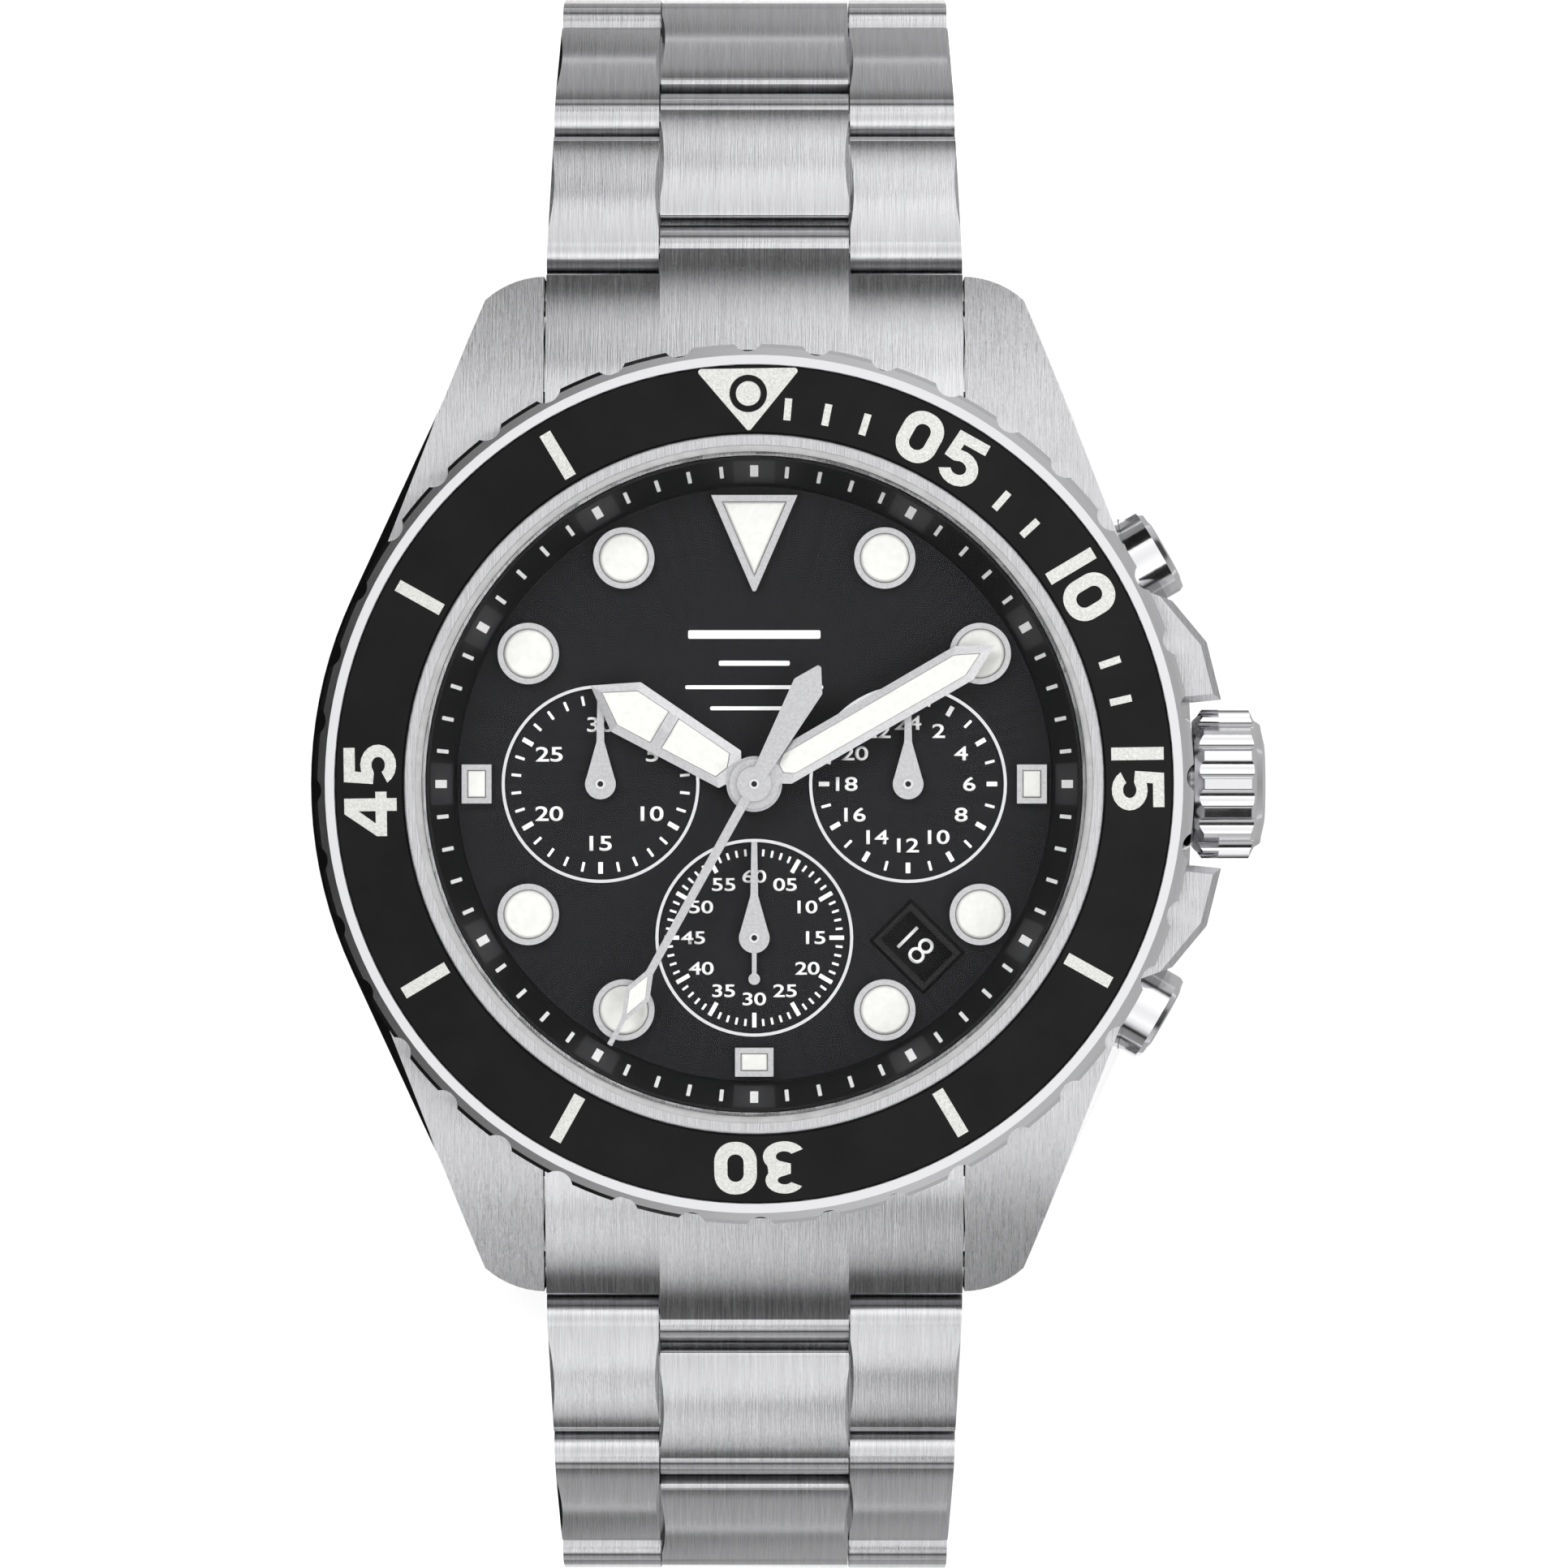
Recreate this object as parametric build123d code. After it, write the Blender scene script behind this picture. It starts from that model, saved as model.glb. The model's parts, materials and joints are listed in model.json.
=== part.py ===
from build123d import *
import os
from math import acos, atan2, cos, hypot, radians, sin, sqrt

os.makedirs("parts", exist_ok=True)

# Steel chronograph dive watch on a steel bracelet, closed. Millimetres.
# +Z leaves the dial, +Y points to 12 o'clock, +X to the crown at 3 o'clock.
# The origin is the centre of the case back's flat outer face.

# ---- driving dimensions: case ----
CASE_R = 23.4            # case middle, plan radius
CASE_TOP_R = 22.35       # radius at the top of the slanted flank
CASE_BOTTOM, FLANK_Z, CASE_TOP = 1.0, 2.6, 8.4
LUG_CORNER = (14.07, 25.3)
LUG_TIP_Y = 26.55
LUG_GAP = 22.0           # between the lugs
NECK_R = 18.0            # turret that the bezel turns on
NECK_TOP = 11.1
BORE_R = 17.05           # room for the movement
SEAT_Z, SEAT_R = 9.8, 17.55   # ledge and bore that hold the crystal
PLATE_R = 18.6           # case back plate
FIT = 0.08               # radial running clearance
STEM_Z = 4.5             # height of the crown and pusher axes
CROWN_R, CROWN_IN, CROWN_OUT = 3.9, 22.95, 26.7
NOTCH_X, NOTCH_HALF = 22.9, 4.25
PUSHER_ANGLES = (30, -30)
PUSHER_R, PUSHER_OUT = 2.43, 24.75

# ---- bezel and glass ----
BEZEL_R, BEZEL_BOTTOM, BEZEL_TOP = 22.8, 8.5, 10.85
INSERT_OUT, INSERT_IN, INSERT_Z = 21.73, 18.12, 10.1
NOTCHES, NOTCH_CUT_R, NOTCH_DEPTH = 40, 0.8, 0.4
BEZEL_OFFSET = 0.85      # the bezel stands a little anticlockwise of 12
CRYSTAL_R, CRYSTAL_TOP = 17.2, 11.7

# ---- dial and hands ----
DIAL_Z, DIAL_T, DIAL_R = 6.8, 0.4, 16.6
DIAL_TOP = DIAL_Z + DIAL_T
SUB_R = 8.02             # sub-dial centres from the centre
SUB_DIALS = {"left": (-SUB_R, 0), "right": (SUB_R, 0), "low": (0, -SUB_R)}
SUB_RING = 5.16
DATE_R, DATE_ANGLE = 12.0, -45
HOUR_Z, MINUTE_Z, SECONDS_Z, SUB_HAND_Z = 7.95, 8.45, 8.95, 7.45
HOUR_ANGLE, MINUTE_ANGLE, SECONDS_ANGLE = -59, 60, 209   # clockwise from 12
HAND_T = 0.22

# ---- movement ----
MOVEMENT_R, PLATE_Z, PLATE_TOP = 15.2, 3.6, 6.1
BATTERY_AT, BATTERY_R = (-5.6, 7.6), 4.75
COIL_ANGLES, COIL_AT_R = (60, -45, -125), 10.2

# ---- bracelet ----
BAR_Y, BAR_Z = 25.0, 3.4 # spring bars between the lugs
END_GAP = 0.1            # between the end links and the case
PITCH = 7.35             # pin to pin
LINK_R = 1.3             # half the link thickness, and its rounded end
LINK_GAP = 0.12          # between neighbouring links, end to end
CENTRE_HALF = 4.95       # half width of the centre pieces
SIDE_GAP = 0.08          # between centre and side pieces
LINK_CROWN = 0.34        # how far the top of a link piece bulges
EASE = 0.2               # chamfer on the long edges
PIN_R = 0.5
FIRST_PIN = (28.1, 3.5)  # y, z of the pin at the end link
TILTS = (15, 44, 86, 96, 112, 130, 148, 164)   # each link, degrees below level
LINK_COUNT = len(TILTS)
WIDTH_END, WIDTH_EXTRA = 18.1, 3.6             # at the clasp, and more at the case

# ---- clasp ----
COVER_Z, COVER_T, COVER_HALF = -39.2, 0.9, 9.0
COVER_Y = (-20.6, 17.8)
WALL_TOP, WALL_IN = -35.2, 8.0
HINGE_A, HINGE_B = (16.2, -37.5), (-14.5, -36.8)
KNUCKLE_R = 0.75
BUTTON_Y, BUTTON_Z = -11.0, -36.7


# ---- helpers ----
def box(x0, x1, y0, y1, z0, z1):
    at = Pos((x0 + x1) / 2, (y0 + y1) / 2, (z0 + z1) / 2)
    return at * Box(x1 - x0, y1 - y0, z1 - z0)


def rod_z(r, z0, z1, x=0, y=0):
    return Pos(x, y, (z0 + z1) / 2) * Cylinder(r, z1 - z0)


def rod_x(r, x0, x1, y=0, z=0):
    return Pos((x0 + x1) / 2, y, z) * Rot(0, 90, 0) * Cylinder(r, x1 - x0)


def ring(r_in, r_out, z0, z1, x=0, y=0):
    return rod_z(r_out, z0, z1, x, y) - rod_z(r_in, z0 - 1, z1 + 1, x, y)


def turned(points, axis=Axis.Z):
    """A closed (radius, height) outline turned about Z, or an (x, radius) one about X."""
    return revolve(Plane.XZ * make_face(Polyline(points, close=True)), axis)


def plate(points, z0, z1):
    return Pos(0, 0, z0) * extrude(make_face(Polyline(points, close=True)), z1 - z0)


def along_x(face, x0, x1):
    """A face drawn in (y, z), pulled from x0 to x1."""
    return Pos(x0, 0, 0) * extrude(Plane.YZ * face, x1 - x0)


def mirrored_points(points):
    """A hand's outline: the right-hand points up, then the same points down the left."""
    return points + [(-x, y) for x, y in reversed(points) if x]


def at_clock(shape, angle):
    """Turn a shape that points to 12 by an angle clockwise."""
    return Rot(0, 0, -angle) * shape


def save(name, *solids):
    shape = solids[0] if len(solids) == 1 else Compound(children=list(solids))
    export_step(shape, f"parts/{name}.step")


# ---- case middle ----
def case_outline(r):
    """Plan outline: a circle with tangents running to the four lug corners."""
    cx, cy = LUG_CORNER
    turn = atan2(cy, cx) - acos(r / hypot(cx, cy))
    tx, ty = r * cos(turn), r * sin(turn)
    gx = LUG_GAP / 2
    gy = sqrt(r * r - gx * gx)
    tip = (gx, LUG_TIP_Y)
    bulge = ((cx + gx) / 2 + 0.12, (cy + LUG_TIP_Y) / 2 + 0.28)

    def corner(sx, sy):
        def at(p):
            return (sx * p[0], sy * p[1])
        return [Line(at((tx, ty)), at((cx, cy))), ThreePointArc(at((cx, cy)), at(bulge), at(tip)),
                Line(at(tip), at((gx, gy)))]

    edges = [ThreePointArc((tx, -ty), (r, 0), (tx, ty)), *corner(1, 1),
             ThreePointArc((gx, gy), (0, r), (-gx, gy)), *corner(-1, 1),
             ThreePointArc((-tx, ty), (-r, 0), (-tx, -ty)), *corner(-1, -1),
             ThreePointArc((-gx, -gy), (0, -r), (gx, -gy)), *corner(1, -1)]
    return make_face(edges)


def case_side():
    """Side outline in (y, z): level under the bezel, falling in an arc to the lug tips."""
    top, low = CASE_TOP, CASE_BOTTOM
    right = [ThreePointArc((15.0, top), (22.0, 7.45), (27.2, 5.5)), Line((27.2, 5.5), (27.2, 2.4)),
             ThreePointArc((27.2, 2.4), (26.6, 1.5), (25.4, low))]
    left = [edge.mirror(Plane.YZ) for edge in right]
    return make_face([Line((-15.0, top), (15.0, top)), *right, Line((25.4, low), (-25.4, low)), *left])


def crown_guards():
    upper = [(20.0, 10.2), (21.8, 9.56), (23.6, 7.4), (24.35, 4.4), (22.9, NOTCH_HALF), (20.0, NOTCH_HALF)]
    guard = plate(upper, 1.7, 7.6)
    guard = chamfer(guard.faces().sort_by(Axis.Z)[-1].edges().filter_by_position(Axis.X, 21.5, 25), 0.35)
    return guard + mirror(guard, Plane.XZ)


def pusher_bores():
    bore = rod_x(PUSHER_R + 0.07, 21.2, 27, z=STEM_Z) + rod_x(1.2, 16, 22, z=STEM_Z)
    return [Rot(0, 0, a) * bore for a in PUSHER_ANGLES]


def case_middle():
    outer = case_outline(CASE_R)
    body = extrude(outer, FLANK_Z) + loft([Pos(0, 0, FLANK_Z) * outer,
                                           Pos(0, 0, CASE_TOP) * case_outline(CASE_TOP_R)], ruled=True)
    body = body + crown_guards()
    body = body & along_x(case_side(), -30, 30)
    body = body + rod_z(NECK_R, CASE_TOP - 1, NECK_TOP)
    cavity = turned([(0, 0), (BORE_R, 0), (BORE_R, SEAT_Z), (SEAT_R, SEAT_Z), (SEAT_R, 12), (0, 12)])
    body = body - cavity - ring(NECK_R - 0.2, NECK_R + 1, 9.25, 9.57)
    body = body - ring(17.3, 17.95, CASE_BOTTOM - 1, CASE_BOTTOM + 0.3)
    body = body - box(NOTCH_X, 30, -NOTCH_HALF, NOTCH_HALF, 0, CASE_TOP + 1)
    body = body - rod_x(1.3, 16, 24, z=STEM_Z)
    for bore in pusher_bores():
        body = body - bore
    for y in (BAR_Y, -BAR_Y):
        body = body - rod_x(0.45, -LUG_GAP / 2 - 1.2, LUG_GAP / 2 + 1.2, y, BAR_Z)
    return body


def case_back():
    back = turned([(0, 0), (17.0, 0), (PLATE_R, 0.45), (PLATE_R, CASE_BOTTOM), (17.0, CASE_BOTTOM),
                   (17.0, 1.75), (15.9, 1.75), (15.9, 1.2), (0, 1.2)])
    for k in range(6):
        back = back - Rot(0, 0, 60 * k + 30) * box(16.9, 19, -1.1, 1.1, -1, 0.7)
    return back


# ---- crown and pushers ----
def crown():
    body = turned([(CROWN_IN, 0), (CROWN_IN, 3.3), (CROWN_IN + 0.5, CROWN_R), (25.9, CROWN_R), (26.2, 3.35),
                   (26.5, 3.15), (CROWN_OUT, 2.3), (CROWN_OUT + 0.08, 0)], Axis.X)
    for k in range(16):
        a = radians(22.5 * k + 11.25)
        body = body - rod_x(0.62, CROWN_IN - 1, 26.2, 4.22 * sin(a), 4.22 * cos(a))
    body = body - rod_x(1.3 + FIT, CROWN_IN - 1, 25.3) - rod_x(0.6, CROWN_IN, 26.0)
    return Pos(0, 0, STEM_Z) * body


def crown_stem():
    stem = turned([(11.6, 0), (11.6, 0.6), (12.35, 0.6), (12.35, 0.35), (12.85, 0.35), (12.85, 0.6),
                   (26.0, 0.6), (26.0, 0)], Axis.X)
    return Pos(0, 0, STEM_Z) * stem


def setting_lever():
    lever = box(12.42, 12.78, -0.9, 3.2, STEM_Z - 0.9, STEM_Z + 0.9)
    return lever - box(12, 13, -1.5, 0, STEM_Z - 0.4, STEM_Z + 0.4) - rod_x(0.4, 12, 13, z=STEM_Z)


def crown_tube():
    return Pos(0, 0, STEM_Z) * (rod_x(1.3, 17.05, 24.2) - rod_x(0.6 + FIT, 17, 25))


def pusher():
    body = turned([(22.3, 1.95), (22.3, PUSHER_R), (24.4, PUSHER_R), (24.66, 2.28), (PUSHER_OUT, 2.0),
                   (PUSHER_OUT, 0), (15.6, 0), (15.6, 0.7), (23.9, 0.7), (23.9, 1.95)], Axis.X)
    return Pos(0, 0, STEM_Z) * body


def pusher_tube():
    return Pos(0, 0, STEM_Z) * (rod_x(1.2, 17.1, 21.9) - rod_x(0.7 + FIT, 17, 22))


def pusher_spring():
    """Closed-up coil round the tube's end, under the hollow of the pusher cap."""
    path = Helix(pitch=0.5, height=1.25, radius=1.55)
    wire = sweep(Plane(path @ 0, z_dir=path % 0) * Circle(0.13), path, is_frenet=True)
    return Pos(21.4, 0, STEM_Z) * Rot(0, 90, 0) * wire


# ---- bezel ----
def bezel_ring():
    body = turned([(NECK_R + FIT, BEZEL_BOTTOM), (22.6, BEZEL_BOTTOM), (BEZEL_R, BEZEL_BOTTOM + 0.2),
                   (BEZEL_R, 10.2), (22.6, 10.5), (22.2, BEZEL_TOP), (INSERT_OUT, BEZEL_TOP),
                   (INSERT_OUT, INSERT_Z), (NECK_R + FIT, INSERT_Z)])
    body = body - ring(19.0, 21.0, 8.0, 9.0) - ring(NECK_R - 1, NECK_R + 0.4, 9.2, 9.62)
    at = BEZEL_R - NOTCH_DEPTH + NOTCH_CUT_R
    cutters = [Rot(0, 0, 360 * k / NOTCHES) * rod_z(NOTCH_CUT_R, 8, 11, 0, at) for k in range(NOTCHES)]
    return Rot(0, 0, BEZEL_OFFSET) * (body - cutters)


def bezel_insert():
    return turned([(INSERT_IN, INSERT_Z), (INSERT_OUT - 0.03, INSERT_Z), (INSERT_OUT - 0.03, 10.72),
                   (INSERT_OUT - 0.12, 10.78), (INSERT_IN + 0.1, 11.0), (INSERT_IN, 10.92)])


def click_spring():
    base = ring(19.3, 20.7, CASE_TOP, CASE_TOP + 0.08)
    return base + Rot(0, 0, 90) * box(19.6, 20.4, -1.6, 1.6, CASE_TOP, 8.85)


# ---- glass, dial and fixed trim ----
def crystal():
    return turned([(0, SEAT_Z), (CRYSTAL_R, SEAT_Z), (CRYSTAL_R, CRYSTAL_TOP - 0.45),
                   (CRYSTAL_R - 0.3, CRYSTAL_TOP), (0, CRYSTAL_TOP)])


def flange_ring():
    return turned([(15.5, DIAL_TOP), (17.0, DIAL_TOP), (17.0, SEAT_Z - 0.02), (16.85, SEAT_Z - 0.02),
                   (15.62, DIAL_TOP + 0.5)])


def date_place(shape):
    return Rot(0, 0, DATE_ANGLE) * Pos(DATE_R, 0, 0) * shape


def dial():
    body = rod_z(DIAL_R, DIAL_Z, DIAL_TOP) - rod_z(1.0, 0, 10)
    for x, y in SUB_DIALS.values():
        body = body - rod_z(SUB_RING, DIAL_TOP - 0.1, 9, x, y) - rod_z(0.4, 0, 10, x, y)
    return body - date_place(box(-1.6, 1.6, -1.08, 1.08, 6, 8))


def tray(face, inner, z1=7.68, pocket=0.25):
    """An applied marker: a rim round a pocket that holds the luminous fill."""
    body = Pos(0, 0, DIAL_TOP) * extrude(face, z1 - DIAL_TOP)
    return body - Pos(0, 0, z1 - pocket) * extrude(inner, 1)


def hour_markers():
    round_one = tray(Circle(1.6), Circle(1.31))
    solids = [at_clock(Pos(0, 13.6, 0) * round_one, 30 * h) for h in (1, 2, 4, 5, 7, 8, 10, 11)]
    triangle = [(-2.25, 15.06), (2.25, 15.06), (0.08, 10.05), (-0.08, 10.05)]
    inner = [(-1.72, 14.74), (1.72, 14.74), (0, 10.75)]
    solids.append(tray(make_face(Polyline(triangle, close=True)), make_face(Polyline(inner, close=True))))
    for angle, radial, wide, at in ((90, 1.55, 2.03, 14.47), (180, 1.5, 2.0, 14.5), (270, 1.55, 2.03, 14.47)):
        bar = tray(Rectangle(wide, radial), Rectangle(wide - 0.56, radial - 0.56))
        solids.append(at_clock(Pos(0, at, 0) * bar, angle))
    return solids


def subdial_rings():
    return [ring(SUB_RING - 0.16, SUB_RING, DIAL_TOP - 0.1, DIAL_TOP + 0.08, x, y) for x, y in SUB_DIALS.values()]


def date_frame():
    frame = extrude(Rectangle(4.0, 3.13), 0.3, taper=30) - extrude(Rectangle(3.2, 2.15), 1)
    return date_place(Pos(0, 0, DIAL_TOP) * frame)


# ---- hands ----
def hour_hand():
    right = [(0.0, 9.95), (1.5, 7.8), (1.13, 1.48), (0.78, 1.26), (0.78, 0.3)]
    body = extrude(make_face(Polyline(mirrored_points(right), close=True)), HAND_T) + rod_z(1.45, 0, HAND_T)
    outer = [(0.0, 9.27), (1.05, 7.7), (0.95, 5.73)]
    inner = [(0.9, 5.13), (0.72, 1.9), (0.0, 1.62)]
    for cell in (outer, inner):
        body = body - Pos(0, 0, -1) * extrude(make_face(Polyline(mirrored_points(cell), close=True)), 2)
    hub = ring(0.85, 1.2, -0.15, 0)
    return Pos(0, 0, HOUR_Z) * at_clock(body + hub - rod_z(0.85, -1, 1), HOUR_ANGLE)


def minute_hand():
    right = [(0.0, 14.45), (1.0, 12.6), (0.96, 1.7), (0.7, 1.26), (0.7, 0.3)]
    body = extrude(make_face(Polyline(mirrored_points(right), close=True)), HAND_T) + rod_z(1.3, 0, HAND_T)
    cell = [(0.0, 13.6), (0.62, 12.35), (0.6, 2.1), (0.25, 1.6)]
    body = body - Pos(0, 0, -1) * extrude(make_face(Polyline(mirrored_points(cell), close=True)), 2)
    pipe = rod_z(0.52, 5.75 - MINUTE_Z, 0.1)
    return Pos(0, 0, MINUTE_Z) * at_clock(body + pipe - rod_z(0.32, -4, 1), MINUTE_ANGLE)


def seconds_hand():
    right = [(0.14, 15.5), (0.12, 14.0), (0.7, 12.5), (0.2, 11.2), (0.25, 0.8), (0.42, -0.8), (0.83, -5.8),
             (0.1, -7.0)]
    body = extrude(make_face(Polyline(mirrored_points(right), close=True)), 0.16)
    cell = [(0.0, 13.75), (0.48, 12.5), (0.0, 11.35)]
    body = body - Pos(0, 0, 0.1) * extrude(make_face(Polyline(mirrored_points(cell), close=True)), 1)
    body = body + rod_z(0.9, 0, 0.24) + rod_z(0.24, 5.5 - SECONDS_Z, 0.3)
    return Pos(0, 0, SECONDS_Z) * at_clock(body, SECONDS_ANGLE)


def sub_hand(x, y, tail):
    body = rod_z(0.8, 0, 0.15) + plate([(-0.15, 5.0), (0.15, 5.0), (0.2, 2.2), (0.72, 0.35), (-0.72, 0.35),
                                        (-0.2, 2.2)], 0, 0.15)
    if tail:
        body = body + plate([(-0.12, 0), (0.12, 0), (0.12, -2.1), (-0.12, -2.1)], 0, 0.15)
        body = body + rod_z(0.3, 0, 0.15, 0, -2.15)
    arbor = rod_z(0.3, PLATE_TOP - 1.0 - SUB_HAND_Z, 0.22)
    return Pos(x, y, SUB_HAND_Z) * (body + arbor)


def hour_wheel():
    disc = rod_z(2.6, 6.2, 6.42)
    teeth = [Rot(0, 0, 360 * k / 32) * box(2.5, 2.85, -0.1, 0.1, 6.2, 6.42) for k in range(32)]
    return (disc + teeth + rod_z(0.85, 6.2, HOUR_Z + HAND_T)) - rod_z(0.6, 6, 9)


def date_ring():
    body = ring(10.7, 13.5, 6.25, 6.5)
    return body - [Rot(0, 0, 360 * k / 31) * rod_z(0.3, 6, 7, 10.7) for k in range(31)]


# ---- movement ----
def stem_channels():
    slots = box(11.2, 17, -0.75, 0.75, STEM_Z - 0.75, STEM_Z + 0.75)
    for a in PUSHER_ANGLES:
        slots = slots + Rot(0, 0, a) * box(14.4, 17, -0.8, 0.8, STEM_Z - 0.8, STEM_Z + 0.8)
    return slots


def coil_place(angle, shape):
    return Rot(0, 0, angle) * Pos(COIL_AT_R, 0, 0) * shape


def main_plate():
    body = rod_z(MOVEMENT_R, PLATE_Z, PLATE_TOP) + ring(14.0, MOVEMENT_R, PLATE_TOP, DIAL_Z)
    body = body - rod_z(0.62, 0, 9) - stem_channels() - box(12.2, 14.0, -1.1, 3.4, 3, 5.6)
    body = body - rod_z(BATTERY_R + 0.15, 3, 4.6, *BATTERY_AT)
    for x, y in SUB_DIALS.values():
        body = body - rod_z(0.3 + 0.06, 4.9, 9, x, y)
    for angle in COIL_ANGLES:
        body = body - coil_place(angle, box(-1.3, 1.3, -4.3, 4.3, 3, 5.6))
    return body


def motor_coils():
    core = box(-0.9, 0.9, -4.0, 4.0, 4.35, 4.65)
    winding = Pos(0, 0, 4.5) * Rot(90, 0, 0) * Cylinder(0.85, 5.4)
    return [coil_place(angle, core + winding) for angle in COIL_ANGLES]


def circuit_board():
    body = rod_z(14.9, 3.0, 3.4) - rod_z(BATTERY_R + 0.3, 2, 4, *BATTERY_AT)
    body = body - box(11.0, 16, -3.6, 3.6, 2, 4)
    chip = box(2.6, 5.8, 1.6, 4.8, 2.5, 3.0)
    return body + chip + box(-4.0, 2.0, -12.4, -10.9, 2.2, 3.0)


def train_bridge():
    body = plate([(-13.2, -6.5), (-1.0, -10.0), (13.2, -6.5), (13.2, -1.5), (1.5, 1.2), (-13.2, 1.2)], 1.9, 2.45)
    for x, y in ((-12.2, -5.4), (12.2, -5.4), (-12.2, 0.0)):
        body = body + rod_z(0.9, 2.45, 3.0, x, y) + rod_z(0.7, 1.75, 1.9, x, y)
    return body


def battery():
    return rod_z(BATTERY_R, 1.85, 4.5, *BATTERY_AT) - ring(4.1, 5, 1.0, 2.2, *BATTERY_AT)


def battery_clamp():
    x, y = BATTERY_AT
    return box(x - 5.6, x + 5.6, y - 0.9, y + 0.9, 1.5, 1.8) + box(x + 5.1, x + 5.6, y - 0.9, y + 0.9, 1.5, 3.0)


def movement_holder():
    return ring(MOVEMENT_R + 0.05, 16.95, 1.8, DIAL_Z) - stem_channels()


# ---- bracelet ----
def width_at(n):
    """Bracelet width n links from the case."""
    return WIDTH_END + WIDTH_EXTRA * ((LINK_COUNT - n) / LINK_COUNT) ** 1.6


def piece_profile(start, end, round_start):
    """Side outline of one link piece in (s, n), with one end rounded about its pin."""
    r, rim = LINK_R, 0.3
    crown_n, mid = r + LINK_CROWN, (start + end) / 2
    square, pin = (end, start) if round_start else (start, end)
    way = 1 if square > pin else -1
    inside = square - way * rim
    edges = [ThreePointArc((pin, -r), (pin - way * r, 0), (pin, r)),
             ThreePointArc((pin, r), (mid, crown_n), (inside, r)),
             ThreePointArc((inside, r), (inside + way * rim * 0.72, r - rim * 0.28), (square, r - rim)),
             Line((square, r - rim), (square, -r + rim)), Line((square, -r + rim), (inside, -r)),
             Line((inside, -r), (pin, -r))]
    return make_face(edges)


def eased_section(x0, x1, y):
    """Cross-section of a link piece at y, from x0 to x1, with its four edges eased."""
    high, cut = LINK_R + LINK_CROWN + 0.01, EASE
    points = [(x0 + cut, high), (x1 - cut, high), (x1, high - cut), (x1, -LINK_R + cut), (x1 - cut, -LINK_R),
              (x0 + cut, -LINK_R), (x0, -LINK_R + cut), (x0, high - cut)]
    return Pos(0, y, 0) * (Plane.XZ * make_face(Polyline(points, close=True)))


def eased_bar(x0, ends, y0, y1):
    """A bar along Y whose outer side tapers from one end to the other."""
    return loft([eased_section(x0, ends[0], y0), eased_section(x0, ends[1], y1)], ruled=True)


def side_piece(w0, w1):
    inner, length = CENTRE_HALF + SIDE_GAP, PITCH - LINK_R - LINK_GAP
    body = along_x(piece_profile(0, length, True), inner - 1, w0 / 2 + 1)
    over = 2.0 * (w0 - w1) / PITCH / 2
    return body & eased_bar(inner, (w0 / 2 + over, w1 / 2), -2.0, PITCH)


def centre_piece(start, end):
    body = along_x(piece_profile(start, end, False), -CENTRE_HALF - 1, CENTRE_HALF + 1)
    return body & eased_bar(-CENTRE_HALF, (CENTRE_HALF, CENTRE_HALF), -2.0, PITCH + 2.0)


def link(n):
    """Link n lies along +Y from its own pin at the origin to the next pin at the pitch."""
    w0, w1 = width_at(n), width_at(n + 1)
    side = side_piece(w0, w1)
    start = LINK_R + LINK_GAP
    web = box(-w1 / 2 + 1, w1 / 2 - 1, start + 0.35, PITCH - start - 0.35, -0.85, 0.85)
    body = centre_piece(start, PITCH) + web + side + mirror(side, Plane.YZ)
    body = body - rod_x(PIN_R, -15, 15) - rod_x(PIN_R + FIT, -6, 6, PITCH, 0)
    return body, rod_x(PIN_R, -w0 / 2 + 0.35, w0 / 2 - 0.35)


def pin_places():
    y, z = FIRST_PIN
    places = []
    for tilt in TILTS:
        places.append((y, z, tilt))
        y, z = y + PITCH * cos(radians(tilt)), z - PITCH * sin(radians(tilt))
    return places, (y, z)


def end_link():
    """Solid end link between the lugs, fitted to the case flank, with its tongue round the first pin."""
    py, pz = FIRST_PIN
    back, back_top, back_low = 19.5, 8.0, 1.7          # buried in the case, then cut away
    front, front_top, front_low = 26.68, 5.4, 2.1      # the step that the first link meets
    side = make_face([ThreePointArc((back, back_top), (23.4, 7.0), (front, front_top)),
                      Line((front, front_top), (front, front_low)), Line((front, front_low), (back, back_low)),
                      Line((back, back_low), (back, back_top))])
    tongue = make_face([ThreePointArc((back, back_top), (24.2, 6.75), (py, pz + LINK_R)),
                        ThreePointArc((py, pz + LINK_R), (py + LINK_R, pz), (py, pz - LINK_R)),
                        Line((py, pz - LINK_R), (back, back_low)), Line((back, back_low), (back, back_top))])
    half = LUG_GAP / 2 - 0.1
    body = along_x(side, -half, half) + along_x(tongue, -CENTRE_HALF, CENTRE_HALF)
    low, high = CASE_R + END_GAP, CASE_TOP_R + END_GAP
    body = body - turned([(0, 0), (low, 0), (low, FLANK_Z), (high, CASE_TOP), (high, 9.0), (0, 9.0)])
    body = body - rod_x(0.8, -15, 15, BAR_Y, BAR_Z)
    return body - rod_x(PIN_R + FIT, -6, 6, py, pz)


def spring_bar():
    tube = rod_x(0.75, -LUG_GAP / 2 + 0.3, LUG_GAP / 2 - 0.3, BAR_Y, BAR_Z)
    return tube + rod_x(0.42, -LUG_GAP / 2 - 1.0, LUG_GAP / 2 + 1.0, BAR_Y, BAR_Z)


# ---- clasp ----
def both_sides(shape):
    return shape + mirror(shape, Plane.YZ)


def end_pins():
    return pin_places()[1]


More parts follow.
